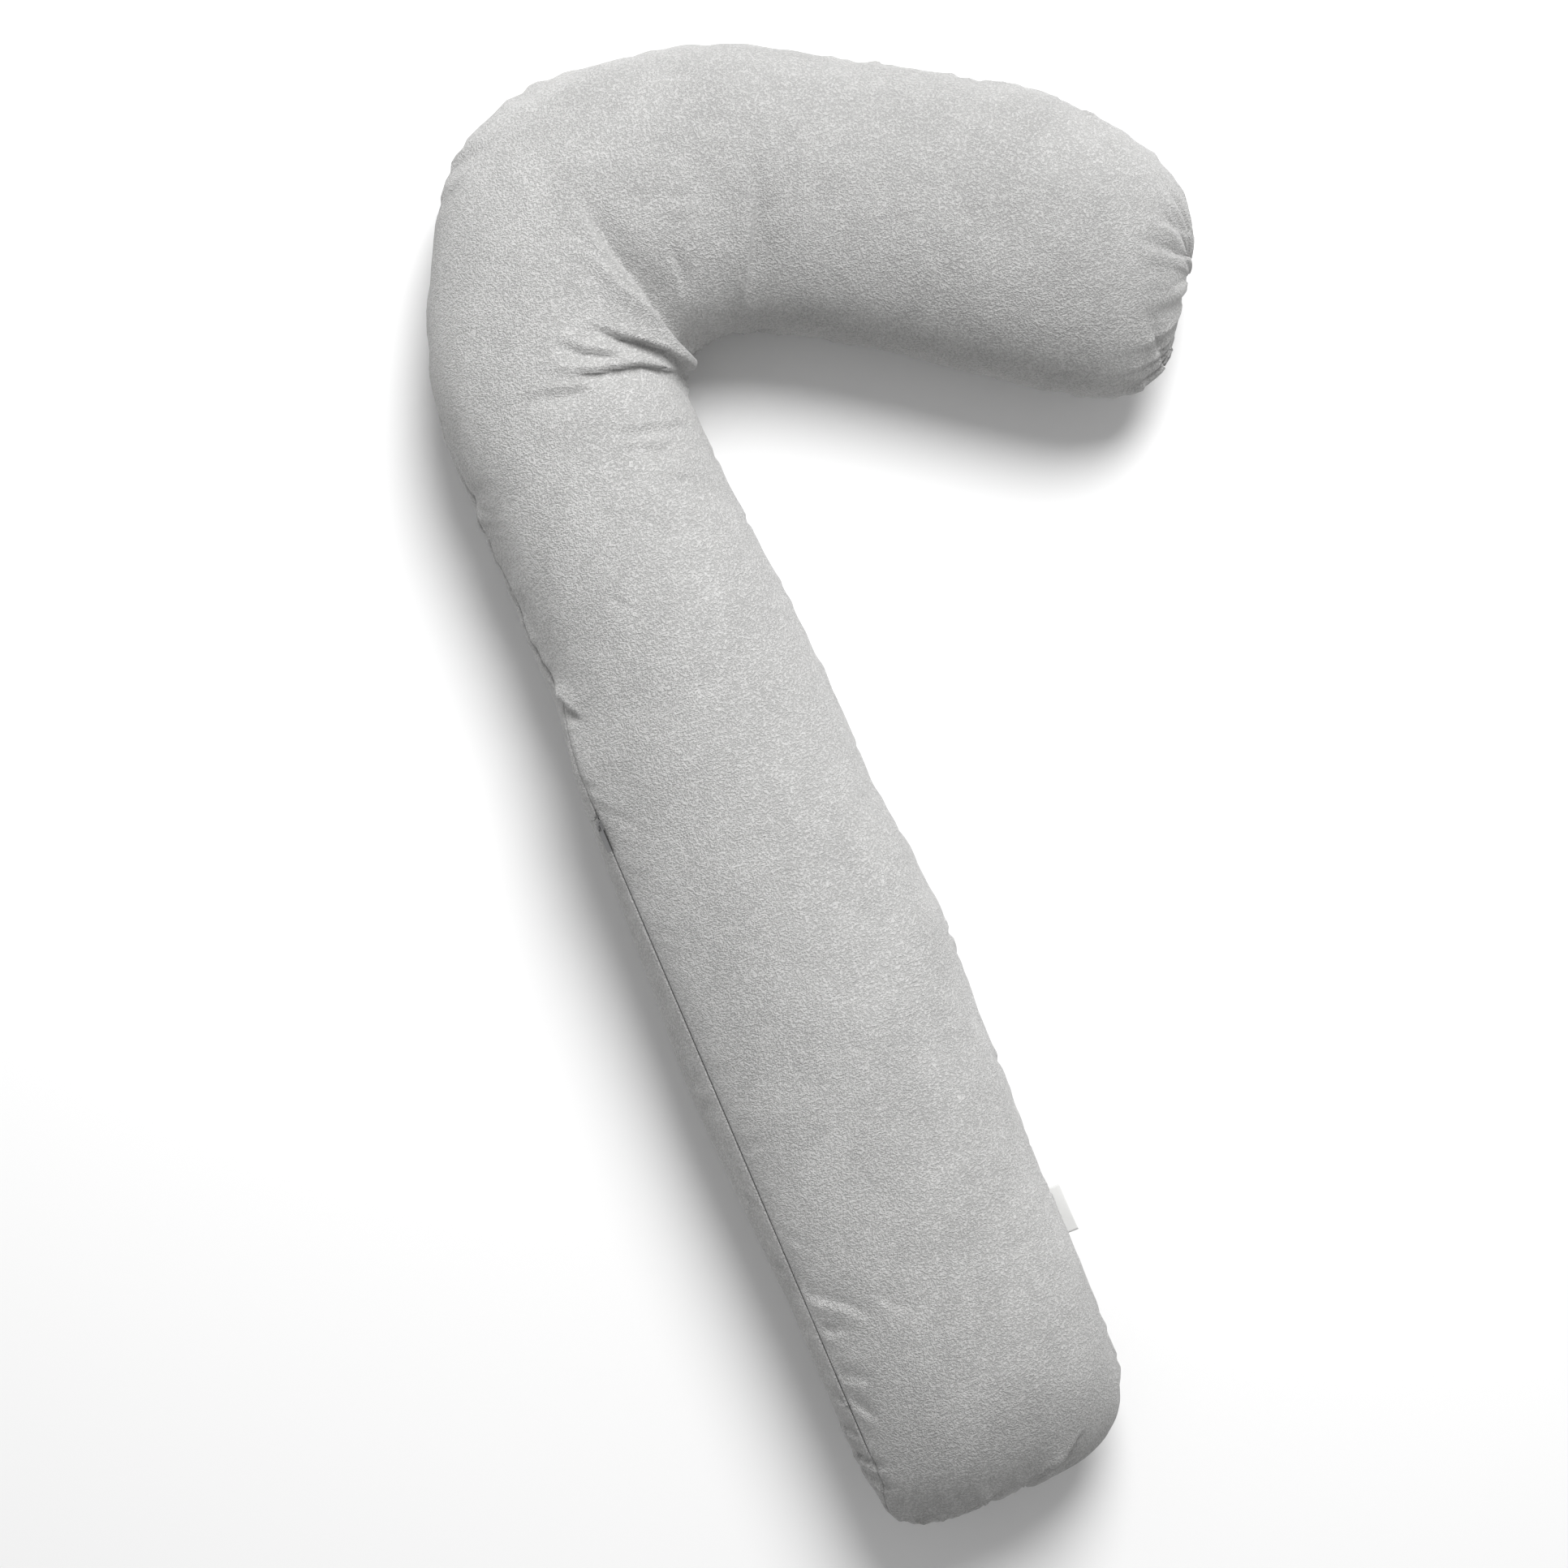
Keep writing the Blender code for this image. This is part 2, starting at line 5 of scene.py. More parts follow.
import bpy
import numpy as np
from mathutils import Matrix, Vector


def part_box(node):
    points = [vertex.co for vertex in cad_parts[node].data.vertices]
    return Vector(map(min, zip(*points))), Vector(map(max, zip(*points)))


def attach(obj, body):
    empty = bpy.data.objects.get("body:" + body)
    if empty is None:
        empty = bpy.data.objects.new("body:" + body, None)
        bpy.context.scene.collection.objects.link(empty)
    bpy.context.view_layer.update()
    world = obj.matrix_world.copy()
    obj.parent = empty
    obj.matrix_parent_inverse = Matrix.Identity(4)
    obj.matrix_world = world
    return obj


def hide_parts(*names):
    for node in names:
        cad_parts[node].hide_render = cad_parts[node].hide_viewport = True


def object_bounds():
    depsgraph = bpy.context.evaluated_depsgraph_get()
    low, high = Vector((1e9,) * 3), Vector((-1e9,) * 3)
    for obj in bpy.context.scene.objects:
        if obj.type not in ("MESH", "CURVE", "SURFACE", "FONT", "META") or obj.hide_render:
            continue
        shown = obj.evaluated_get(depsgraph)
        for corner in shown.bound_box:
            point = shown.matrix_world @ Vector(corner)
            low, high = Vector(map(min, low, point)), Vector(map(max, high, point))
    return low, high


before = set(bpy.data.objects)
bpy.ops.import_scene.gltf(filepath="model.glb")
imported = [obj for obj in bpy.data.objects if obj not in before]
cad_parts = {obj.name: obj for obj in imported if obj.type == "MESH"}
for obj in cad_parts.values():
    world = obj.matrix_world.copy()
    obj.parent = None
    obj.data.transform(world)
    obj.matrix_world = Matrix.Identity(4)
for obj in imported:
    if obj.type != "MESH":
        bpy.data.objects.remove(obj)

cad_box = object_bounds()

# ---------------------------------------------------------------------------------------------------------
# Floor, light and camera. The pillow lies on a plain pale floor and is seen from straight above, turned so
# that its long arm leans to the left. One large soft light stands beyond the hook's outer side.

VIEW_TURN = math.radians(-23.1)
VIEW_CENTRE = (-0.182, -0.001)
VIEW_WIDTH = 1.430
VIEW_HEIGHT = 3.6
SILHOUETTE_Z = 0.08  # the level of the pillow's outline, where the view is as wide as VIEW_WIDTH

camera_data = bpy.data.cameras.new("camera")
camera_data.sensor_width = 36.0
camera_data.lens = 36.0 * (VIEW_HEIGHT - SILHOUETTE_Z) / VIEW_WIDTH
camera = bpy.data.objects.new("camera", camera_data)
camera.location = (*VIEW_CENTRE, VIEW_HEIGHT)
camera.rotation_euler = (0.0, 0.0, VIEW_TURN)
bpy.context.scene.collection.objects.link(camera)
bpy.context.scene.camera = camera
bpy.context.scene.view_settings.view_transform = "Standard"

view_right = Vector((math.cos(VIEW_TURN), math.sin(VIEW_TURN), 0.0))
view_up = Vector((-math.sin(VIEW_TURN), math.cos(VIEW_TURN), 0.0))

LIGHT_RIGHT, LIGHT_UP, LIGHT_HEIGHT = 0.62, 2.55, 3.0
LIGHT_SIZE = 2.3
LIGHT_POWER = 198.0
light_data = bpy.data.lights.new("key_light", "AREA")
light_data.shape = "DISK"
light_data.size = LIGHT_SIZE
light_data.energy = LIGHT_POWER
light = bpy.data.objects.new("key_light", light_data)
target = Vector((*VIEW_CENTRE, 0.05))
light.location = target + view_right * LIGHT_RIGHT + view_up * LIGHT_UP + Vector((0.0, 0.0, LIGHT_HEIGHT))
light.rotation_euler = (target - light.location).to_track_quat("-Z", "Y").to_euler()
bpy.context.scene.collection.objects.link(light)

SKY_STRENGTH = 0.39
world = bpy.data.worlds.new("studio")
world.use_nodes = True
world.node_tree.nodes["Background"].inputs["Color"].default_value = (1.0, 1.0, 1.0, 1.0)
world.node_tree.nodes["Background"].inputs["Strength"].default_value = SKY_STRENGTH
bpy.context.scene.world = world


def new_material(name):
    made = bpy.data.materials.new(name)
    made.use_nodes = True
    return made


def add_object(name, mesh, finish=None):
    thing = bpy.data.objects.new(name, mesh)
    bpy.context.scene.collection.objects.link(thing)
    if finish:
        mesh.materials.append(finish)
    return thing


floor_finish = new_material("pale_floor")
floor_shader = floor_finish.node_tree.nodes["Principled BSDF"]
floor_shader.inputs["Base Color"].default_value = (0.93, 0.93, 0.93, 1.0)
floor_shader.inputs["Roughness"].default_value = 0.9
floor_mesh = bpy.data.meshes.new("floor")
FLOOR_HALF = 14.0
FLOOR_Z = -0.0006  # just under the pillow, so that the two don't flicker
corners = [(x * FLOOR_HALF, y * FLOOR_HALF, FLOOR_Z) for x, y in ((-1, -1), (1, -1), (1, 1), (-1, 1))]
floor_mesh.from_pydata(corners, [], [(0, 1, 2, 3)])
add_object("floor", floor_mesh, floor_finish)

# ---------------------------------------------------------------------------------------------------------
# The cover: two panels of short-pile velour cut to the hook's outline, sewn together round the edge and
# turned, then stretched over the stuffed liner. The stuffed shape is worked out first, as rows of points
# across each panel; cloth simulation then lets the panels crease where there is more cloth than room.

ARM_LENGTH = 1.033
BEND_RADIUS = 0.169
BEND_TURN = math.radians(125)
LOBE_LENGTH = 0.372
BEND_LENGTH = BEND_RADIUS * BEND_TURN
SPINE_LENGTH = ARM_LENGTH + BEND_LENGTH + LOBE_LENGTH
ARM_HALF = 0.131
EDGE_ROOM = 0.0006
ARM_X = cad_box[0].x + ARM_HALF - EDGE_ROOM
FOOT_Y = cad_box[0].y
HEIGHT = 0.171
WIDEST_Z = 0.078
BULGE_POWER = 2.2
FLOOR_FLAT = 1.20
SWELL_LENGTH = 0.125
INNER_SEAM_ANGLE = math.radians(-6)
ZIP_FOOT = 0.142
ZIP_TOP = 0.712
ZIP_ANGLE = math.radians(31)
ZIP_LINE_X = -0.3477  # the zip's seam is straight
ZIP_LINE_Z = 0.1294

# Half width on the outer side and on the inner side, at places along the spine from the foot end.
OUTER_HALF = (
    (0.00, 0.129), (0.10, 0.132), (0.245, 0.129), (0.34, 0.136), (0.46, 0.141), (0.55, 0.133),
    (0.62, 0.129), (0.71, 0.122), (0.78, 0.112), (0.90, 0.111), (1.033, 0.109), (1.10, 0.122),
    (1.157, 0.137), (1.186, 0.153), (1.207, 0.166), (1.24, 0.167), (1.263, 0.154), (1.295, 0.142),
    (1.343, 0.131), (1.39, 0.126), (1.48, 0.131), (1.60, 0.137), (1.66, 0.134), (1.78, 0.132),
)
INNER_HALF = (
    (0.00, 0.122), (0.10, 0.127), (0.18, 0.129), (0.26, 0.127), (0.34, 0.131), (0.42, 0.132),
    (0.505, 0.138), (0.58, 0.134), (0.645, 0.124), (0.73, 0.126), (0.84, 0.121), (0.90, 0.115),
    (0.973, 0.110), (1.016, 0.109), (1.053, 0.112), (1.121, 0.115), (1.16, 0.117), (1.234, 0.126),
    (1.357, 0.133), (1.42, 0.127), (1.448, 0.124), (1.525, 0.123), (1.60, 0.126), (1.78, 0.130),
)
FOOT_END = (0.30, 0.060, 3.0), (0.20, 0.095, 2.8)
TIP_END = (0.10, 0.205, 2.3), (0.50, 0.085, 2.4)


def smooth(value):
    value = np.clip(value, 0.0, 1.0)
    return value * value * (3.0 - 2.0 * value)


def profile(points, s):
    """A smooth line through a few points, read at s."""
    step, soften = 0.002, 0.022
    fine = np.arange(-0.2, SPINE_LENGTH + 0.2, step)
    values = np.interp(fine, [p[0] for p in points], [p[1] for p in points])
    kernel = np.exp(-((np.arange(-40, 41) * step / soften) ** 2))
    values = np.convolve(np.pad(values, 40, mode="edge"), kernel / kernel.sum(), mode="valid")
    return np.interp(s, fine, values)


def spine(s):
    turn = np.clip(s - ARM_LENGTH, 0.0, BEND_LENGTH) / BEND_RADIUS
    side = np.stack([-np.cos(turn), np.sin(turn)], -1)
    along = np.stack([np.sin(turn), np.cos(turn)], -1)
    point = np.array([ARM_X + BEND_RADIUS, FOOT_Y + ARM_LENGTH]) + side * BEND_RADIUS
    rest = np.minimum(0.0, s - ARM_LENGTH) + np.maximum(0.0, s - ARM_LENGTH - BEND_LENGTH)
    return point + along * rest[..., None], side


_, end_sides = spine(np.array([0.0, SPINE_LENGTH]))
END_WAYS = np.stack([end_sides[:, 1], -end_sides[:, 0], np.zeros(2)], -1)  # the spine's way at its two ends


def end_opening(d, shape):
    """Share of the full width at this far from an end: its flat width, its length and how square it is."""
    flat, length, power = shape
    left = 1.0 - np.clip(d / length, 0.0, 1.0)
    return flat + (1.0 - flat) * (1.0 - left**power) ** (1.0 / power)


def swell(d):
    """Share of the full roundness at this far from an end."""
    left = 1.0 - np.clip(d / SWELL_LENGTH, 0.0, 1.0)
    return (1.0 - left**BULGE_POWER) ** (1.0 / BULGE_POWER)


def seam_angle(s):
    """Angle of the outer seam above the widest level: steep along the zip, 12 to 3 degrees elsewhere."""
    below = (0.070 - s) / 0.07
    above = (s - ZIP_TOP - 0.020) / 0.22
    hook = math.radians(3) + math.radians(9) * (1.0 - smooth((s - 1.0) / 0.15))
    return hook + (ZIP_ANGLE - hook) * (1.0 - smooth(np.maximum(below, above)))


def stuffed(front, s, share):
    """Points of one panel of the stuffed pillow, at places s along the spine and shares across the panel."""
    s, share = np.broadcast_arrays(s, share)
    inner = np.full_like(s, INNER_SEAM_ANGLE)
    outer = math.pi - seam_angle(s)
    angle = inner + (outer - inner) * share if front else inner + (outer - 2.0 * math.pi - inner) * share
    column = 2.0 * share - 1.0
    tip = SPINE_LENGTH - s
    swollen = np.minimum(swell(s), swell(tip))
    power = 2.0 / BULGE_POWER
    across = np.sign(-np.cos(angle)) * np.abs(np.cos(angle)) ** power
    rise = np.sign(np.sin(angle)) * np.abs(np.sin(angle)) ** power
    across = swollen * across + (1.0 - swollen) * column
    outer_open = np.minimum(end_opening(s, FOOT_END[0]), end_opening(tip, TIP_END[0]))
    inner_open = np.minimum(end_opening(s, FOOT_END[1]), end_opening(tip, TIP_END[1]))
    half = np.where(across > 0.0, profile(OUTER_HALF, s) * outer_open, profile(INNER_HALF, s) * inner_open)
    low = np.maximum(-1.0, FLOOR_FLAT * rise)
    z = WIDEST_Z + swollen * np.where(rise > 0.0, rise * (HEIGHT - WIDEST_Z), low * WIDEST_Z)
    point, side = spine(s)
    flat = point + side * (half * across)[..., None]
    return np.concatenate([flat, z[..., None]], -1)


def run_length(points):
    """Length along a line of points from its start to each of them."""
    return np.concatenate([[0.0], np.cumsum(np.linalg.norm(np.diff(points, axis=0), axis=1))])


def even_places(count):
    """Places along the spine that are evenly far apart on the crown of the panel, ends included."""
    s = np.linspace(0.0, SPINE_LENGTH, 4000)
    crown = stuffed(True, s, np.full_like(s, 0.5))
    length = run_length(crown)
    return np.interp(np.linspace(0.0, length[-1], count), length, s)


ROWS = 236
COLUMNS = 48  # of each panel; a ring runs over the front panel and back under the pillow on the other


def blur(field, rows, columns):
    """Smooths a field on the rings, by this many cells along the spine and round the ring."""
    for axis, width in ((0, rows), (1, columns)):
        if width <= 0.0:
            continue
        reach = int(3 * width) + 1
        weights = np.exp(-((np.arange(-reach, reach + 1) / width) ** 2) / 2.0)
        weights /= weights.sum()
        pad = [(0, 0)] * field.ndim
        pad[axis] = (reach, reach)
        wide = np.pad(field, pad, mode="edge" if axis == 0 else "wrap")
        field = sum(w * np.take(wide, range(k, k + field.shape[axis]), axis) for k, w in enumerate(weights))
    return field


def ring_normals(rings):
    """Outward unit normals of the rings. The two end rings are flat, and their normals point off the end."""
    along = np.gradient(rings, axis=0)
    round_ring = (np.roll(rings, -1, axis=1) - np.roll(rings, 1, axis=1)) / 2.0
    normal = np.cross(along, round_ring)
    normal[0] = -END_WAYS[0]
    normal[-1] = END_WAYS[1]
    return normal / np.maximum(np.linalg.norm(normal, axis=-1, keepdims=True), 1e-9)


def double(rings):
    """Twice as many rings, with twice as many points each, along smooth curves."""
    wide = np.concatenate([2 * rings[:1] - rings[1:2], rings, 2 * rings[-1:] - rings[-2:-1]])
    middle = (9.0 * (wide[1:-2] + wide[2:-1]) - wide[:-3] - wide[3:]) / 16.0
    more = np.empty((2 * len(rings) - 1, *rings.shape[1:]))
    more[0::2] = rings
    more[1::2] = middle
    rolled = [np.roll(more, k, axis=1) for k in (1, 0, -1, -2)]
    middle = (9.0 * (rolled[1] + rolled[2]) - rolled[0] - rolled[3]) / 16.0
    finest = np.empty((len(more), 2 * more.shape[1], *more.shape[2:]))
    finest[:, 0::2] = more
    finest[:, 1::2] = middle
    return finest


coarse_s = even_places(ROWS + 1)
share = np.arange(COLUMNS + 1) / COLUMNS
front = stuffed(True, coarse_s[:, None], share[None, :])
back = stuffed(False, coarse_s[:, None], share[None, :])
rings = np.concatenate([front[:, :-1], back[:, :0:-1]], axis=1)


def to_zip_line(rings, s, reach):
    """Draws the outer seam onto the zip's straight line, and the cloth within reach of it along."""
    column = rings.shape[1] // 2
    seam = rings[:, column]
    line = np.stack([np.full_like(s, ZIP_LINE_X), seam[:, 1], np.full_like(s, ZIP_LINE_Z)], -1)
    share = smooth((s - 0.03) / 0.10) * (1.0 - smooth((s - ZIP_TOP - 0.01) / 0.14))
    away = np.linalg.norm(rings - seam[:, None], axis=-1)
    pull = share[:, None] * np.exp(-((away / reach) ** 2))
    return rings + (line - seam)[:, None] * pull[..., None]


rings = to_zip_line(rings, coarse_s, 0.045)
ring_share = np.concatenate([share[:-1], share[:0:-1]])


def closed_mesh(name, rings):
    """A closed mesh through the rings, with the flat end rings used from both sides, and its numbering."""
    end = COLUMNS + 1
    places = np.arange(2 * COLUMNS)
    mirror = np.where(places < end, places, 2 * COLUMNS - places)
    inside = end + np.arange((ROWS - 1) * len(places)).reshape(ROWS - 1, -1)
    index = np.concatenate([mirror[None], inside, end + (ROWS - 1) * len(places) + mirror[None]])
    beside = np.roll(index, -1, axis=1)
    faces = np.stack([index[:-1], index[1:], beside[1:], beside[:-1]], -1).reshape(-1, 4)
    points = np.concatenate([rings[0, :end], rings[1:-1].reshape(-1, 3), rings[-1, :end]])
    mesh = bpy.data.meshes.new(name)
    mesh.from_pydata(points.tolist(), [], faces.tolist())
    return mesh, index


SETTLE_FRAMES = 24
WRINKLE_LIMIT = 0.006


def simulate(rings):
    """Lets the cover settle as cloth with a little more of it than the shape needs, and returns its rings."""
    mesh, index = closed_mesh("cover_cloth", rings)
    cloth_object = add_object("cover_cloth", mesh)
    s = np.broadcast_to(coarse_s[:, None], index.shape)
    seam = np.minimum(ring_share, 1.0 - ring_share)[None, :] + 0.0 * s
    on_zip = (s > ZIP_FOOT - 0.03) & (s < ZIP_TOP + 0.03) & (ring_share > 0.97)[None, :]
    turn = (s - ARM_LENGTH) / BEND_RADIUS  # most of the spare cloth lies in the bend's inner corner
    inner_bend = np.exp(-(((turn - 0.95) / 0.75) ** 2)) * (1.0 - smooth(ring_share[None, :] / 0.62))
    outer_bend = np.exp(-(((turn - 1.15) / 0.5) ** 2)) * smooth((ring_share[None, :] - 0.55) / 0.4)
    slack = 0.34 + 0.66 * inner_bend + 0.10 * outer_bend
    hold = np.where(on_zip, 1.0, np.where(seam < 0.001, 0.30, 0.03))
    hold[[0, -1]] = 0.5
    for name, field in (("hold", hold), ("slack", slack)):
        group = cloth_object.vertex_groups.new(name=name)
        for vertex, weight in zip(index.ravel().tolist(), field.ravel().tolist()):
            group.add([vertex], weight, "REPLACE")
    cloth = cloth_object.modifiers.new("Cloth", "CLOTH")
    settings = cloth.settings
    settings.quality = 6
    settings.mass = 0.12
    settings.tension_stiffness = 30.0
    settings.compression_stiffness = 30.0
    settings.shear_stiffness = 12.0
    settings.bending_stiffness = 0.06
    settings.air_damping = 2.0
    settings.use_pressure = True
    settings.uniform_pressure_force = 2.2
    settings.vertex_group_mass = "hold"
    settings.pin_stiffness = 6.0
    settings.vertex_group_shrink = "slack"
    settings.shrink_min = 0.0
    settings.shrink_max = -0.16
    settings.effector_weights.gravity = 0.0
    cloth.point_cache.frame_start = 1
    cloth.point_cache.frame_end = SETTLE_FRAMES
    for frame_number in range(1, SETTLE_FRAMES + 1):
        bpy.context.scene.frame_set(frame_number)
    settled = cloth_object.evaluated_get(bpy.context.evaluated_depsgraph_get())
    co = np.empty(len(mesh.vertices) * 3)
    settled.data.vertices.foreach_get("co", co)
    bpy.context.scene.frame_set(1)
    bpy.data.objects.remove(cloth_object)
    bpy.data.meshes.remove(mesh)
    return co.reshape(-1, 3)[index]


moved = np.zeros_like(rings)
moved = simulate(rings) - rings
wrinkles = moved - blur(moved, 4.5, 4.5)
reach = np.linalg.norm(wrinkles, axis=-1, keepdims=True)
wrinkles *= np.tanh(reach / WRINKLE_LIMIT) * WRINKLE_LIMIT / np.maximum(reach, 1e-9)
on_arm = 1.0 - smooth((coarse_s[:, None] - ZIP_TOP - 0.03) / 0.03)
by_zip = on_arm * smooth((ring_share[None, :] - 0.85) / 0.10)
ends = smooth(coarse_s / 0.04) * smooth((SPINE_LENGTH - coarse_s) / 0.04)
rings = rings + blur(wrinkles * ((1.0 - by_zip) * ends[:, None])[..., None], 0.6, 0.6)
rings[..., 2] = np.maximum(rings[..., 2], 0.0)

fine_s = np.interp(np.arange(2 * ROWS + 1) / 2.0, np.arange(ROWS + 1), coarse_s)
rings = double(rings)
around = rings.shape[1]
HALF = around // 2


def seam_distances(rings):
    """How far round the ring each point is from the inner seam and from the outer seam."""
    step = np.linalg.norm(np.roll(rings, -1, axis=1) - rings, axis=-1)
    one_way = np.concatenate([np.zeros((len(rings), 1)), np.cumsum(step, axis=1)[:, :-1]], axis=1)
    whole = step.sum(axis=1, keepdims=True)
    inner = np.minimum(one_way, whole - one_way)
    outer = np.abs(one_way - one_way[:, HALF:HALF + 1])
    return inner, outer, one_way


to_inner, to_outer, arc = seam_distances(rings)
normals = ring_normals(rings)

# Shares from 0 to 1: how much a row belongs to the zip, how free the cloth is beside the zip's seam, how far
# it is off the floor, and how much it faces up, where the folds are pressed in.
zip_row = smooth((fine_s - ZIP_FOOT + 0.065) / 0.03) * (1.0 - smooth((fine_s - ZIP_TOP - 0.005) / 0.03))
calm = 1.0 - zip_row[:, None] * (1.0 - smooth((to_outer - 0.003) / 0.022))
beside_zip = 1.0 - zip_row[:, None] * (1.0 - smooth((to_outer - 0.004) / 0.006))
off_floor = smooth((rings[..., 2] - 0.004) / 0.03)
facing_up = smooth((rings[..., 2] - 0.058) / 0.045)
at_ends = np.exp(-((np.minimum(fine_s, SPINE_LENGTH - fine_s) / 0.05) ** 2))[:, None]
facing_up = np.maximum(facing_up, at_ends * smooth((rings[..., 2] - 0.068) / 0.010)) * beside_zip

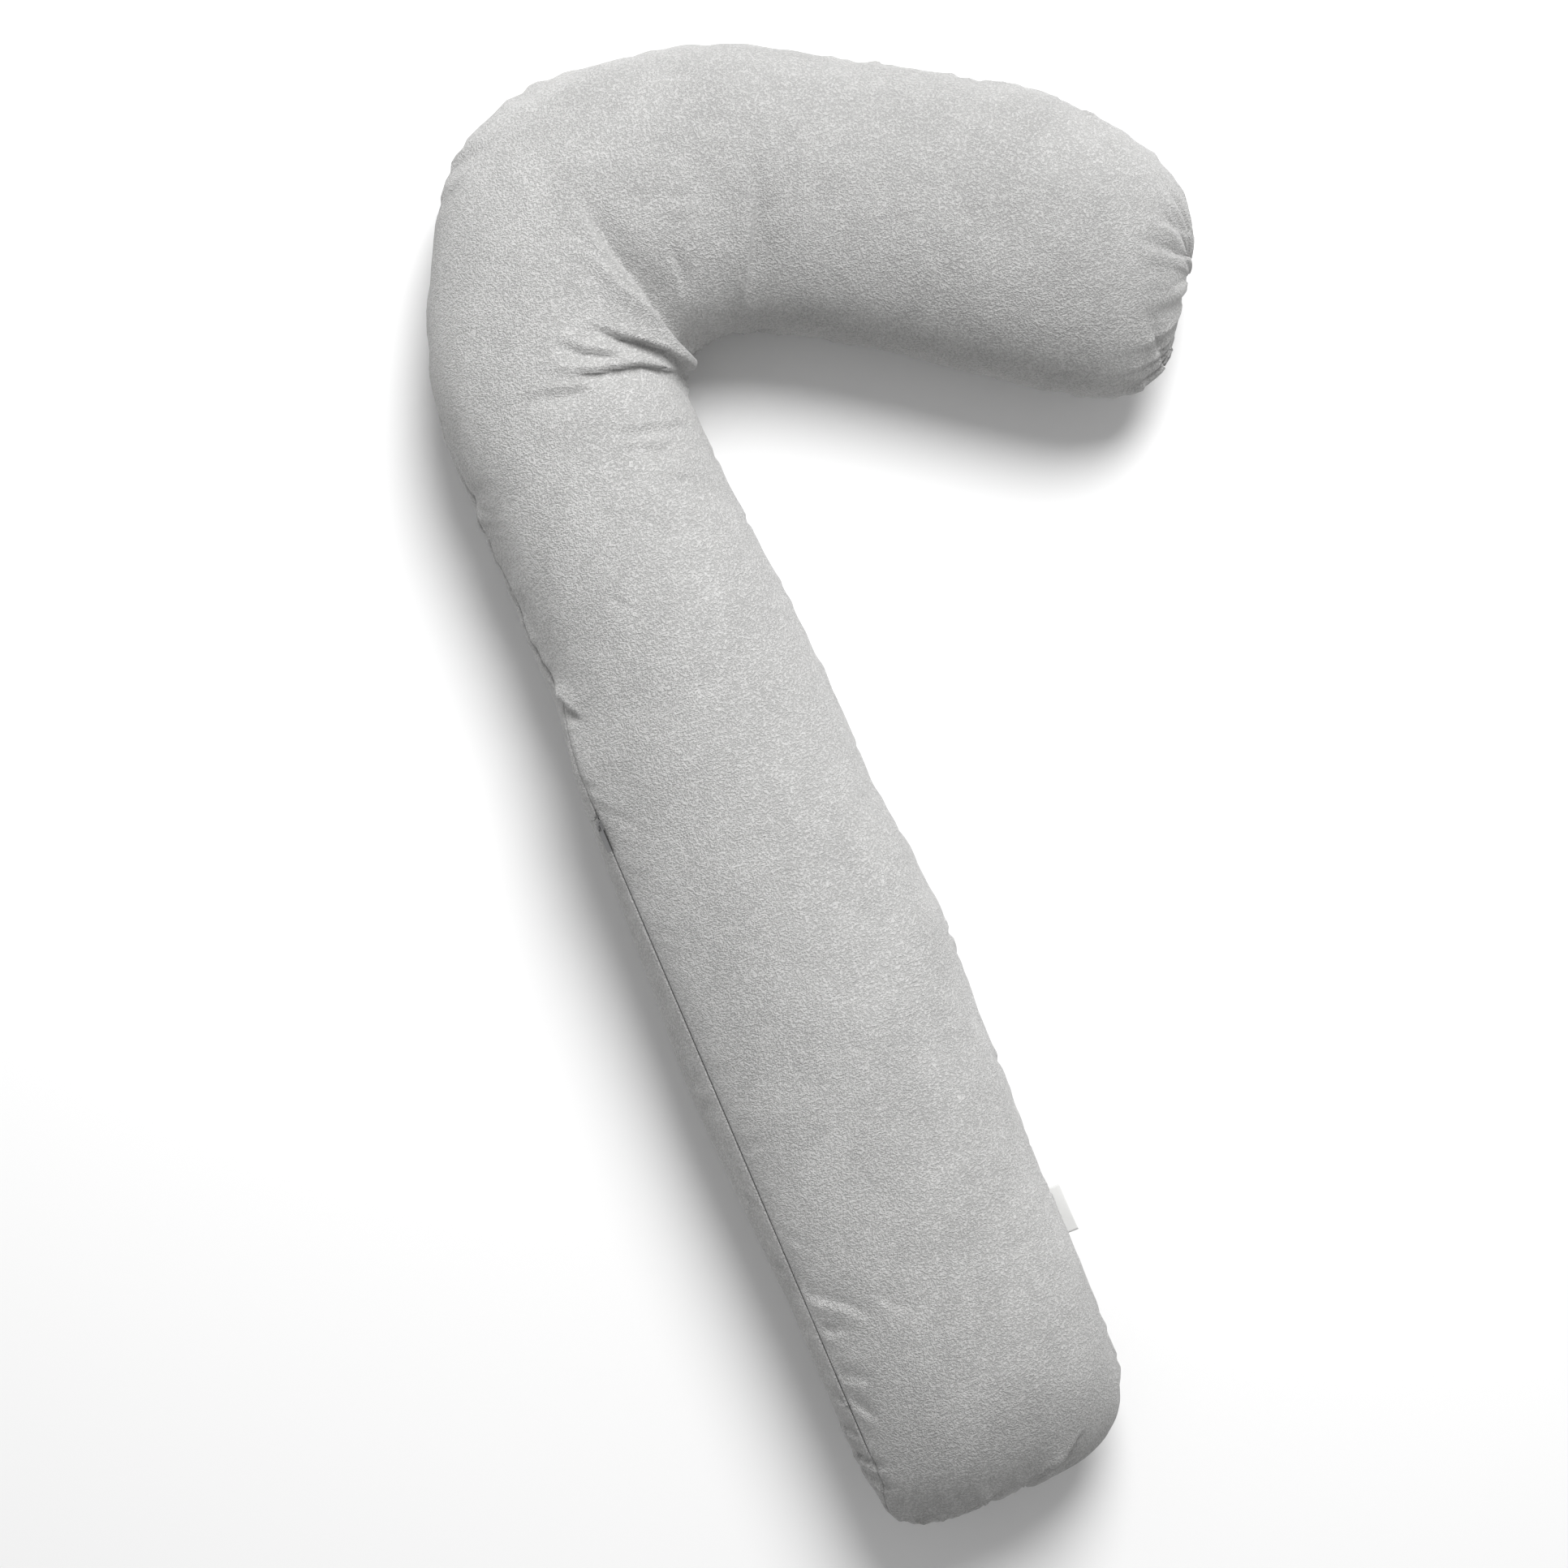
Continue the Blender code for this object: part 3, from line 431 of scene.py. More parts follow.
# The folds that are pressed into the cover: width and depth of the dip, width and height of the lip beside
# it, how far the lip leans over, which side the lip is on, where it fades in, and its line on the plan.
FOLDS = (
    # The deep ones in the inner corner of the bend, and the shallow ones beside them.
    (0.026, 0.015, 0.02, 0.0042, 0.0022, 1, 0, ((-0.105, 0.383), (-0.116, 0.407), (-0.122, 0.432),
     (-0.125, 0.45), (-0.136, 0.48), (-0.143, 0.512), (-0.146, 0.54), (-0.144, 0.564))),
    (0.012, 0.003, 0.012, 0.0018, 0, 1, 0.2, ((-0.119, 0.419), (-0.127, 0.444), (-0.14, 0.464),
     (-0.145, 0.486), (-0.161, 0.515), (-0.171, 0.532))),
    (0.017, 0.009, 0.018, 0.0038, 0.0022, -1, 0, ((-0.112, 0.375), (-0.118, 0.388), (-0.127, 0.399),
     (-0.144, 0.413), (-0.158, 0.421), (-0.171, 0.433), (-0.191, 0.444))),
    (0.014, 0.0045, 0.012, 0.002, 0.001, -1, 0.25, ((-0.163, 0.408), (-0.179, 0.414), (-0.196, 0.424),
     (-0.208, 0.435), (-0.222, 0.447))),
    (0.018, 0.0065, 0.016, 0.003, 0.002, -1, 0, ((-0.138, 0.387), (-0.152, 0.394), (-0.171, 0.398),
     (-0.19, 0.402), (-0.209, 0.407), (-0.227, 0.414), (-0.243, 0.42))),
    (0.016, 0.0038, 0.014, 0.0015, 0, -1, 0.3, ((-0.191, 0.386), (-0.212, 0.392), (-0.228, 0.397),
     (-0.247, 0.401), (-0.266, 0.406), (-0.275, 0.408))),
    (0.014, 0.0022, 0.012, 0.001, 0, -1, 0.2, ((-0.127, 0.33), (-0.15, 0.335), (-0.172, 0.338),
     (-0.193, 0.346), (-0.212, 0.357))),
    (0.014, 0.002, 0.012, 0.0008, 0, -1, 0.3, ((-0.148, 0.316), (-0.167, 0.32), (-0.188, 0.327),
     (-0.21, 0.331))),
    # Small ones on the arm's crown.
    (0.006, 0.0014, 0.005, 0.0006, 0, 1, 0.4, ((-0.223, 0.274), (-0.239, 0.278), (-0.251, 0.285))),
    (0.006, 0.0015, 0.005, 0.0006, 0, 1, 0.4, ((-0.264, 0.22), (-0.253, 0.206), (-0.241, 0.19))),
    # The hook, near the bend.
    (0.018, 0.008, 0.014, 0.0024, 0.001, 1, 0.4, ((-0.053, 0.4), (-0.039, 0.418), (-0.019, 0.454),
     (-0.006, 0.48), (0.004, 0.505), (0.012, 0.532), (0.016, 0.548))),
    (0.012, 0.0042, 0.01, 0.0008, 0, 1, 0.5, ((-0.095, 0.428), (-0.09, 0.451), (-0.088, 0.473),
     (-0.089, 0.486))),
    (0.01, 0.0022, 0.006, 0.0012, 0.0008, -1, 0.05, ((-0.059, 0.657), (-0.045, 0.651), (-0.035, 0.634),
     (-0.03, 0.619), (-0.027, 0.604))),
    (0.007, 0.0014, 0.005, 0.0006, 0, -1, 0.1, ((-0.037, 0.644), (-0.028, 0.63), (-0.019, 0.614))),
    # Gathers on the outer side of the bend.
    (0.01, 0.0045, 0.01, 0.0022, 0.001, -1, 0, ((-0.162, 0.674), (-0.161, 0.664), (-0.154, 0.651),
     (-0.146, 0.64))),
    (0.01, 0.003, 0.012, 0.0016, 0.0006, 1, 0, ((-0.242, 0.633), (-0.229, 0.635), (-0.211, 0.633),
     (-0.189, 0.619))),
    (0.007, 0.0022, 0.007, 0.0012, 0, 1, 0.05, ((-0.231, 0.652), (-0.221, 0.646), (-0.205, 0.641))),
    (0.008, 0.0022, 0.008, 0.001, 0, 1, 0, ((-0.266, 0.609), (-0.253, 0.608), (-0.233, 0.611))),
    # Fine creases on the crown of the bend.
    (0.005, 0.0014, 0.005, 0.0006, 0, 1, 0.3, ((-0.087, 0.544), (-0.061, 0.536), (-0.037, 0.52),
     (-0.014, 0.504))),
    (0.005, 0.0015, 0.005, 0.0006, 0, 1, 0.3, ((-0.11, 0.535), (-0.082, 0.528), (-0.049, 0.513),
     (-0.018, 0.495))),
    (0.005, 0.0014, 0.005, 0.0006, 0, 1, 0.3, ((-0.091, 0.505), (-0.065, 0.498), (-0.041, 0.486),
     (-0.02, 0.476))),
    (0.007, 0.0013, 0.007, 0.0005, 0, 1, 0.3, ((-0.251, 0.531), (-0.234, 0.528), (-0.209, 0.527))),
    # Gathers at the hook's end.
    (0.01, 0.0046, 0.01, 0.0022, 0.001, 1, 0, ((0.285, 0.215), (0.284, 0.224), (0.282, 0.237),
     (0.283, 0.254), (0.282, 0.266))),
    (0.01, 0.0045, 0.01, 0.002, 0.001, 1, 0, ((0.255, 0.19), (0.263, 0.202), (0.269, 0.212))),
    (0.01, 0.0028, 0.01, 0.0012, 0, 1, 0, ((0.342, 0.318), (0.329, 0.326), (0.318, 0.329))),
    (0.014, 0.0028, 0.014, 0.0014, 0, 1, 0, ((0.336, 0.295), (0.321, 0.302), (0.306, 0.312),
     (0.294, 0.329))),
    (0.008, 0.003, 0.008, 0.0016, 0, 1, 0, ((0.308, 0.446), (0.308, 0.441), (0.303, 0.434))),
    (0.006, 0.0022, 0.006, 0.001, 0, 1, 0, ((0.244, 0.193), (0.25, 0.203))),
    (0.008, 0.003, 0.01, 0.0014, 0, 1, 0, ((0.328, 0.274), (0.317, 0.272), (0.308, 0.276))),
    (0.009, 0.0022, 0.009, 0.001, 0, 1, 0, ((0.171, 0.236), (0.177, 0.242), (0.185, 0.249))),
    # Gathers by the zip's lower end and at the foot, and a broad shallow one on the arm.
    (0.014, 0.003, 0.014, 0.0014, 0, -1, 0, ((-0.336, -0.439), (-0.318, -0.45), (-0.299, -0.469),
     (-0.289, -0.477))),
    (0.01, 0.0028, 0.012, 0.0014, 0, -1, 0, ((-0.342, -0.468), (-0.326, -0.473), (-0.315, -0.48))),
    (0.009, 0.0024, 0.01, 0.001, 0, -1, 0, ((-0.346, -0.512), (-0.331, -0.519), (-0.315, -0.528))),
    (0.009, 0.0034, 0.01, 0.0018, 0.001, -1, 0, ((-0.351, -0.534), (-0.341, -0.542), (-0.331, -0.556),
     (-0.324, -0.563))),
    (0.008, 0.003, 0.008, 0.0014, 0.0005, -1, 0, ((-0.357, -0.563), (-0.348, -0.57), (-0.34, -0.579))),
    (0.009, 0.0034, 0.01, 0.0018, 0.001, -1, 0, ((-0.359, -0.588), (-0.348, -0.598), (-0.331, -0.601))),
    (0.008, 0.0028, 0.008, 0.0014, 0, -1, 0, ((-0.358, -0.606), (-0.35, -0.619), (-0.337, -0.627))),
    (0.007, 0.0032, 0.007, 0.0018, 0.001, 1, 0, ((-0.345, -0.658), (-0.336, -0.659), (-0.318, -0.66),
     (-0.305, -0.658))),
    (0.006, 0.0026, 0.006, 0.0014, 0.001, 1, 0, ((-0.335, -0.668), (-0.322, -0.67), (-0.308, -0.67))),
    (0.007, 0.0044, 0.008, 0.0024, 0.001, 1, 0, ((-0.309, -0.673), (-0.291, -0.674), (-0.271, -0.671),
     (-0.258, -0.664), (-0.238, -0.661))),
    (0.006, 0.0036, 0.006, 0.0018, 0.0005, 1, 0, ((-0.278, -0.672), (-0.26, -0.666), (-0.245, -0.663))),
    (0.007, 0.0046, 0.008, 0.0026, 0.001, 1, 0, ((-0.227, -0.668), (-0.205, -0.661), (-0.185, -0.658),
     (-0.167, -0.649))),
    (0.006, 0.0038, 0.006, 0.002, 0.0005, 1, 0, ((-0.19, -0.658), (-0.172, -0.647), (-0.157, -0.639))),
    (0.014, 0.0016, 0.014, 0.0008, 0, -1, 0.3, ((-0.289, -0.444), (-0.279, -0.464), (-0.261, -0.478),
     (-0.251, -0.487))),
    # The dent past the zip's upper end, and small ones by the inner seam and the label.
    (0.014, 0.006, 0.014, 0.0025, 0.001, 1, 0, ((-0.336, 0.148), (-0.332, 0.137), (-0.326, 0.122))),
    (0.01, 0.0016, 0.01, 0.0006, 0, 1, 0.2, ((-0.17, 0.294), (-0.155, 0.286), (-0.144, 0.278))),
    (0.006, 0.0012, 0.006, 0.0005, 0, 1, 0, ((-0.106, -0.44), (-0.126, -0.448), (-0.147, -0.451),
     (-0.16, -0.451))),
    (0.006, 0.0012, 0.006, 0.0005, 0, 1, 0.1, ((-0.13, -0.465), (-0.151, -0.465), (-0.177, -0.466))),
)


def beside_line(points, line):
    """Signed distance of points from a line on the plan, and how far along it they are, from 0 to 1."""
    line = np.asarray(line, float)
    length = run_length(line)
    fine = np.linspace(0.0, length[-1], 60)
    line = np.stack([np.interp(fine, length, line[:, k]) for k in (0, 1)], -1)
    line = np.concatenate([line[:1], (line[:-2] + 2 * line[1:-1] + line[2:]) / 4.0, line[-1:]])
    best = np.full(points.shape[:-1], 9.0)
    signed = np.full(points.shape[:-1], 9.0)
    place = np.zeros(points.shape[:-1])
    for k, (a, b) in enumerate(zip(line, line[1:])):
        way = (b - a) / np.linalg.norm(b - a)
        offset = points - a
        along = np.clip(offset @ way, 0.0, np.linalg.norm(b - a))
        gap = np.linalg.norm(offset - along[..., None] * way, axis=-1)
        nearer = gap < best
        best = np.where(nearer, gap, best)
        signed = np.where(nearer, np.sign(way[0] * offset[..., 1] - way[1] * offset[..., 0]) * gap, signed)
        place = np.where(nearer, (k + along / np.linalg.norm(b - a)) / (len(line) - 1), place)
    return signed, place


FOLD_STEP = 0.0032  # how wide the step from a dip up to its lip is
LEAN_REACH = 0.006


def press_folds(rings):
    """Presses every fold into the rings: a dip, a step up to a lip, and the lip leaning over the dip."""
    places = rings[..., :2].copy()
    shift = np.zeros_like(rings)
    for dip_width, dip, lip_width, lip, lean, side, start, line in FOLDS:
        low, high = np.min(line, axis=0) - 0.06, np.max(line, axis=0) + 0.06
        near = (places > low).all(-1) & (places < high).all(-1) & (rings[..., 2] > 0.03)
        rows, columns = np.nonzero(near)
        signed, place = beside_line(places[rows, columns], line)
        signed = signed * side
        fade = (1.0 - smooth((place - 0.45) / 0.55)) * facing_up[rows, columns]
        fade *= smooth(place / start) if start else 1.0
        narrow = 1.0 - 0.35 * place
        down = -dip * np.exp(-((np.abs(signed) / (dip_width * narrow)) ** 1.5))
        up = lip * np.exp(-((np.abs(signed) / (lip_width * narrow)) ** 1.7))
        height = (down + (up - down) * smooth(signed / FOLD_STEP + 0.25)) * fade
        way = np.subtract(line[-1], line[0])
        way /= np.linalg.norm(way)
        over = lean * fade * np.exp(-np.abs(signed) / LEAN_REACH) * smooth(signed / 0.001 + 0.5)
        shift[rows, columns] += normals[rows, columns] * height[:, None]
        shift[rows, columns] += np.array([way[1], -way[0], 0.0]) * (side * over)[:, None]
    return rings + shift


smooth_rings = rings.copy()
rings = press_folds(rings)
normals = ring_normals(rings)
random = np.random.default_rng(20)


def noise_line(count, wave):
    """Smooth random values with about one wave in so many rows, from about -1 to 1."""
    weights = np.exp(-((np.arange(-60, 61) / (wave * 0.32)) ** 2))
    line = np.convolve(random.normal(size=count + 120), weights, mode="valid")
    return line / line.std()


def pucker(to_seam, strength):
    """Cloth gathered a little along a seam: it swells and dips beside the seam and runs flat further in."""
    coarse = noise_line(len(fine_s), 7.0)[:, None]
    fine = noise_line(len(fine_s), 4.0)[:, None]
    reach = (0.020 + 0.006 * noise_line(len(fine_s), 20.0)[:, None]).clip(0.010, 0.035)
    beside = np.exp(-((to_seam / reach) ** 2)) * smooth(to_seam / 0.005)
    close = np.exp(-((to_seam / 0.011) ** 2)) * smooth(to_seam / 0.004)
    return strength * (0.75 * coarse * beside + 0.35 * fine * close)


def crease(height, to_seam, side, at, length, width, depth, slope):
    """Adds one small crease that runs in from a seam and fades."""
    low, high = np.searchsorted(fine_s, (at - 0.08, at + 0.08))
    t = to_seam[low:high]
    across = fine_s[low:high, None] - at - slope * t - 1.5 * slope * t * t / length
    shape = -np.exp(-((across / width) ** 2)) + 0.55 * np.exp(-((across / width - 1.5) ** 2))
    shape = shape + 0.35 * np.exp(-((across / width + 1.6) ** 2))
    fade = smooth(t / 0.006) * (1.0 - smooth(t / length))
    height[low:high] += depth * shape * fade * side


SEAM_GROOVE = 0.0022
height = np.zeros(rings.shape[:2])
front_side = (np.arange(around) <= HALF)[None, :] * 1.0
for to_seam, strength, count in ((to_inner, 0.0007, 90), (to_outer, 0.0008, 110)):
    height += pucker(to_seam, strength)
    for _ in range(count):
        at = random.uniform(0.04, SPINE_LENGTH - 0.04)
        length = random.uniform(0.020, 0.062)
        width = random.uniform(0.0035, 0.0065)
        depth = random.uniform(0.0007, 0.0020)
        side = front_side if random.random() < 0.5 else 1.0 - front_side
        crease(height, to_seam, side, at, length, width, depth, random.uniform(-0.5, 0.5))
groove = -SEAM_GROOVE * np.exp(-((np.minimum(to_inner, to_outer) / 0.0032) ** 2))
scallops = np.where(fine_s > ZIP_TOP + 0.1, 1.0, 0.5) * smooth((fine_s - 0.02) / 0.03) * (1.0 - zip_row)
for to_seam, size in ((to_outer, 0.0013), (to_inner, 0.0006)):
    line = noise_line(len(fine_s), 8.0) + 0.6 * noise_line(len(fine_s), 4.5)
    height += size * (line * scallops)[:, None] * np.exp(-((to_seam / 0.013) ** 2))
height = height * calm * smooth(fine_s / 0.03)[:, None] * smooth((SPINE_LENGTH - fine_s) / 0.03)[:, None]
mirror = np.minimum(np.arange(around), around - np.arange(around))
for to_end, size in ((fine_s, 0.0011), (SPINE_LENGTH - fine_s, 0.0013)):
    gathers = 0.75 * noise_line(around, 7.0) + 0.5 * noise_line(around, 3.5)
    front_row = size * gathers * smooth(mirror / 6.0) * smooth((HALF - mirror) / 6.0)
    both = front_row[mirror]
    near_end = np.exp(-((to_end / 0.016) ** 2))
    inside = np.exp(-((to_end / 0.030) ** 2)) - near_end
    height += near_end[:, None] * both + 1.7 * inside[:, None] * front_row
height += groove * (1.0 - 0.8 * zip_row[:, None] * (to_outer < 0.02))
rings = rings + normals * (height * off_floor)[..., None]
rings[..., 2] = np.maximum(rings[..., 2], 0.0)
rings = to_zip_line(rings, fine_s, 0.016)
normals = ring_normals(rings)


def shell(name, outer, inner, uv, finish):
    """A closed piece of cloth between two grids of points, with a rim round its edges."""
    rows, columns = outer.shape[:2]
    points = np.concatenate([outer.reshape(-1, 3), inner.reshape(-1, 3)])
    index = np.arange(rows * columns).reshape(rows, columns)
    quad = np.stack([index[:-1, :-1], index[1:, :-1], index[1:, 1:], index[:-1, 1:]], -1).reshape(-1, 4)
    under = quad[:, ::-1] + rows * columns
    edge = np.concatenate([index[0, :], index[1:, -1], index[-1, -2::-1], index[-2:0:-1, 0]])
    after = np.roll(edge, -1)
    rim = np.stack([edge, after, after + rows * columns, edge + rows * columns], -1)
    faces = np.concatenate([quad, under, rim])
    mesh = bpy.data.meshes.new(name)
    mesh.vertices.add(len(points))
    mesh.vertices.foreach_set("co", points.ravel())
    mesh.loops.add(4 * len(faces))
    mesh.loops.foreach_set("vertex_index", faces.ravel())
    mesh.polygons.add(len(faces))
    mesh.polygons.foreach_set("loop_start", np.arange(len(faces)) * 4)
    mesh.update(calc_edges=True)
    mesh.shade_smooth()
    layer = mesh.uv_layers.new(name="flat")
    flat = np.concatenate([uv.reshape(-1, 2)] * 2)[faces.ravel()]
    layer.data.foreach_set("uv", flat.ravel())
    return add_object(name, mesh, finish)


def panel_grids(rings, normals, part, gap, thick):
    """The outer and inner grids of one panel, its edges drawn back from the seams, and its flat places."""
    columns = np.arange(HALF + 1) if part == "front" else np.arange(HALF, around + 1) % around
    outer = rings[:, columns].copy()
    normal = normals[:, columns]
    for edge, beside in ((0, 1), (-1, -2)):
        way = outer[:, beside] - outer[:, edge]
        length = np.linalg.norm(way, axis=-1, keepdims=True)
        outer[:, edge] += way / np.maximum(length, 1e-6) * np.minimum(gap[:, None], 0.4 * length)
    lift = 0.0002 if part == "front" else -0.0002
    outer[[0, -1], :, 2] += lift
    inner = outer - normal * thick
    inner[[0, -1], :, 2] += lift
    inner[..., 2] = np.maximum(inner[..., 2], thick * 0.5)
    uv = np.stack([arc[:, columns], np.broadcast_to(fine_s[:, None], outer.shape[:2])], -1)
    return outer, inner, uv


class Shade:
    """A socket of a material, with sums written as sums."""

    def __init__(self, tree, socket):
        self.tree = tree
        self.socket = socket

    def node(self, kind, inputs=(), output=0, **settings):
        """Adds a node of any type, with its settings and its inputs by name or number."""
        made = self.tree.nodes.new(kind)
        for name, value in settings.items():
            setattr(made, name, value)
        for name, value in dict(inputs).items():
            if isinstance(value, Shade):
                self.tree.links.new(value.socket, made.inputs[name])
            else:
                made.inputs[name].default_value = value
        return Shade(self.tree, made.outputs[output])

    def math(self, operation, *values, clamp=False):
        return self.node("ShaderNodeMath", dict(enumerate(values)), operation=operation, use_clamp=clamp)

    def __add__(self, other):
        return self.math("ADD", self, other)

    def __sub__(self, other):
        return self.math("SUBTRACT", self, other)

    def __mul__(self, other):
        return self.math("MULTIPLY", self, other)

    def __rsub__(self, other):
        return self.math("SUBTRACT", other, self)

    def __pow__(self, other):
        return self.math("POWER", self, other)

    __radd__ = __add__
    __rmul__ = __mul__

    def ramp(self, low, high):
        """0 below low and 1 above high."""
        inputs = {"Value": self, "From Min": low, "From Max": high}
        return self.node("ShaderNodeMapRange", inputs, interpolation_type="SMOOTHSTEP")

    def mix(self, first, second):
        """The first colour where this is 0 and the second where it is 1."""
        inputs = {"Factor": self, 6: (*first, 1.0), 7: (*second, 1.0)}
        return self.node("ShaderNodeMix", inputs, output=2, data_type="RGBA")

    def noise(self, scale, detail=2.0, stretch=(1.0, 1.0, 1.0), roughness=0.5, distortion=0.0):
        """Noise at these coordinates, with so many blotches to the metre."""
        placed = self.node("ShaderNodeMapping", {"Vector": self, "Scale": stretch})
        inputs = {"Vector": placed, "Scale": scale, "Detail": detail, "Roughness": roughness}
        return self.node("ShaderNodeTexNoise", {**inputs, "Distortion": distortion})

    def bands(self, scale, direction):
        """Fine parallel bands across these coordinates."""
        inputs = {"Vector": self, "Scale": scale}
        return self.node("ShaderNodeTexWave", inputs, output=1, bands_direction=direction)

    def bump(self, distance, strength=1.0, under=None):
        """A surface normal with this height, in metres at 1, over another one."""
        inputs = {"Height": self, "Distance": distance, "Strength": strength}
        if under:
            inputs["Normal"] = under
        return self.node("ShaderNodeBump", inputs)

    def drive(self, material, name):
        shader = material.node_tree.nodes["Principled BSDF"]
        self.tree.links.new(self.socket, shader.inputs[name])

    def finish(self, material, first, second, distance, strength):
        """Colours the material from the first colour to the second by this, and raises it by this too."""
        self.mix(first, second).drive(material, "Base Color")
        self.bump(distance, strength).drive(material, "Normal")


def set_values(material, **values):
    shader = material.node_tree.nodes["Principled BSDF"]
    for name, value in values.items():
        shader.inputs[name.replace("_", " ")].default_value = value


def object_space(material):
    tree = material.node_tree
    return Shade(tree, tree.nodes.new("ShaderNodeTexCoord").outputs["Object"])


def flat_space(material):
    tree = material.node_tree
    layer = tree.nodes.new("ShaderNodeUVMap")
    layer.uv_map = "flat"
    return Shade(tree, layer.outputs["UV"])


velour = new_material("velour")
set_values(velour, Roughness=0.92, Sheen_Weight=0.30, Sheen_Roughness=0.45, Specular_IOR_Level=0.12)
place = object_space(velour)
flat = flat_space(velour)
blotches = place.noise(9.0, 4.0, roughness=0.6, distortion=0.8).ramp(0.33, 0.68)
strokes = flat.noise(22.0, 4.0, (1.0, 0.7, 1.0), 0.65, 1.4).ramp(0.36, 0.66)
pile = place.noise(430.0, 1.5, roughness=0.5)
fibres = place.noise(900.0, 1.0, roughness=0.5)
ribs = flat.noise(26.0, 3.0, (0.45, 2.0, 1.0), 0.6, 0.9)
fine_lines = 1.0 - ribs.math("ABSOLUTE", ribs * 2.0 - 1.0)
kept = place.noise(8.0, 2.0).ramp(0.46, 0.72)
creases_and_crease_shade = fine_lines ** 9.0 * kept
grain = (pile * 0.52 + fibres * 0.48).ramp(0.37, 0.63)
# The colour is darkened a little along the fine creases: painted shade in the creases.
shade = 0.18 * blotches + 0.13 * strokes + 0.69 * grain - 0.05 * creases_and_crease_shade
colour = shade.mix((0.356, 0.354, 0.350), (0.608, 0.605, 0.598))
# Painted shade: the velour's colour is multiplied down to 0.82 on the hook and at the foot end, so that these
# parts look less lit than the arm.
along_spine = flat.node("ShaderNodeSeparateXYZ", {"Vector": flat}, output=1)
hook = along_spine.ramp(1.12, 1.42)
painted_end_shade = hook.math("MAXIMUM", hook, 1.0 - along_spine.ramp(0.02, 0.24))  # painted shade at both ends
painted_end_shade = painted_end_shade.mix((1.0, 1.0, 1.0), (0.82, 0.82, 0.82))
inputs = {"Factor": 1.0, 6: colour, 7: painted_end_shade}
flat.node("ShaderNodeMix", inputs, 2, data_type="RGBA", blend_type="MULTIPLY").drive(velour, "Base Color")
normal = place.noise(48.0, 3.0, roughness=0.6).bump(0.0020, 0.5)
normal = (1.0 - creases_and_crease_shade).bump(0.0006, 0.5, normal)
grain.bump(0.0012, 0.7, normal).drive(velour, "Normal")

VELOUR_THICK = 0.0015
seam_gap = 0.0002 + 0.0008 * zip_row
for part in ("front", "back"):
    outer, inner, uv = panel_grids(rings, normals, part, seam_gap, VELOUR_THICK)
    panel = shell(f"cover_{part}", outer, inner, uv, velour)
    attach(panel, "pillow")
    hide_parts(f"cover_{part}_panel")


# ---------------------------------------------------------------------------------------------------------
# The liner: a plain white cotton bag, cut like the cover and filled through a slot that is then sewn shut by
# hand. It carries the polyester fibre filling and lies a little deeper behind the zip.

LINER_DEEP = 0.0040
LINER_THICK = 0.0008
FILL_DEEP = 0.0066

coarse = (slice(None, None, 2), slice(None, None, 2))
room = zip_row[:, None] * (1.0 - smooth((to_outer - 0.012) / 0.03)) * 0.008
calm_rings = blur(smooth_rings, 3.0, 3.0)
calm_normals = ring_normals(calm_rings)
dip = np.maximum(0.0, ((calm_rings - rings) * calm_normals).sum(-1))
for axis in (0, 1):
    dip = np.max([np.roll(dip, k, axis=axis) for k in range(-4, 5)], axis=0)
deep = (room + blur(dip, 1.5, 1.5))[coarse][..., None]
calm_normals = calm_normals[coarse]
liner_rings = calm_rings[coarse] - calm_normals * (LINER_DEEP + deep)
fill_rings = calm_rings[coarse] - calm_normals * (FILL_DEEP + deep)
for layer, lowest in ((liner_rings, LINER_DEEP), (fill_rings, FILL_DEEP)):
    layer[..., 2] = np.maximum(layer[..., 2], lowest)

cotton = new_material("white_cotton")
set_values(cotton, Roughness=0.85)
flat = flat_space(cotton)
threads = flat.bands(420.0, "X")
crossing = flat.bands(420.0, "Y")
weave = threads * crossing
weave.finish(cotton, (0.76, 0.76, 0.74), (0.84, 0.84, 0.82), 0.0002, 0.6)

coarse_arc = arc[coarse]
coarse_half = HALF // 2
for part in ("front", "back"):
    columns = np.arange(coarse_half + 1)
    if part == "back":
        columns = np.arange(coarse_half, 2 * coarse_half + 1) % (2 * coarse_half)
    outer = liner_rings[:, columns]
    inner = outer - calm_normals[:, columns] * LINER_THICK
    uv = np.stack([coarse_arc[:, columns], np.broadcast_to(coarse_s[:, None], outer.shape[:2])], -1)
    bag = shell(f"liner_{part}", outer, inner, uv, cotton)
    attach(bag, "pillow")
    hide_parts(f"liner_{part}_panel")

fibre = new_material("polyester_fibre")
set_values(fibre, Roughness=0.95)
place = object_space(fibre)
tufts = place.noise(60.0, 5.0, roughness=0.7)
tufts.finish(fibre, (0.80, 0.80, 0.79), (0.90, 0.90, 0.89), 0.004, 0.8)

fill_mesh, _ = closed_mesh("fibre_filling", fill_rings)
fill_mesh.shade_smooth()
filling = add_object("fibre_filling", fill_mesh, fibre)
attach(filling, "pillow")
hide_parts("fibre_fill")

# ---------------------------------------------------------------------------------------------------------
# The zip: two woven tapes sewn under the panels' edges, each with a nylon coil, metal stops at the ends, and
# a small grey enamelled slider with its pull.

TAPE_START = 0.0016
TAPE_WIDTH = 0.013
TAPE_DEEP = 0.0021
TAPE_THICK = 0.0005
TOOTH_PITCH = 0.0013
TOOTH_WIRE = 0.00032


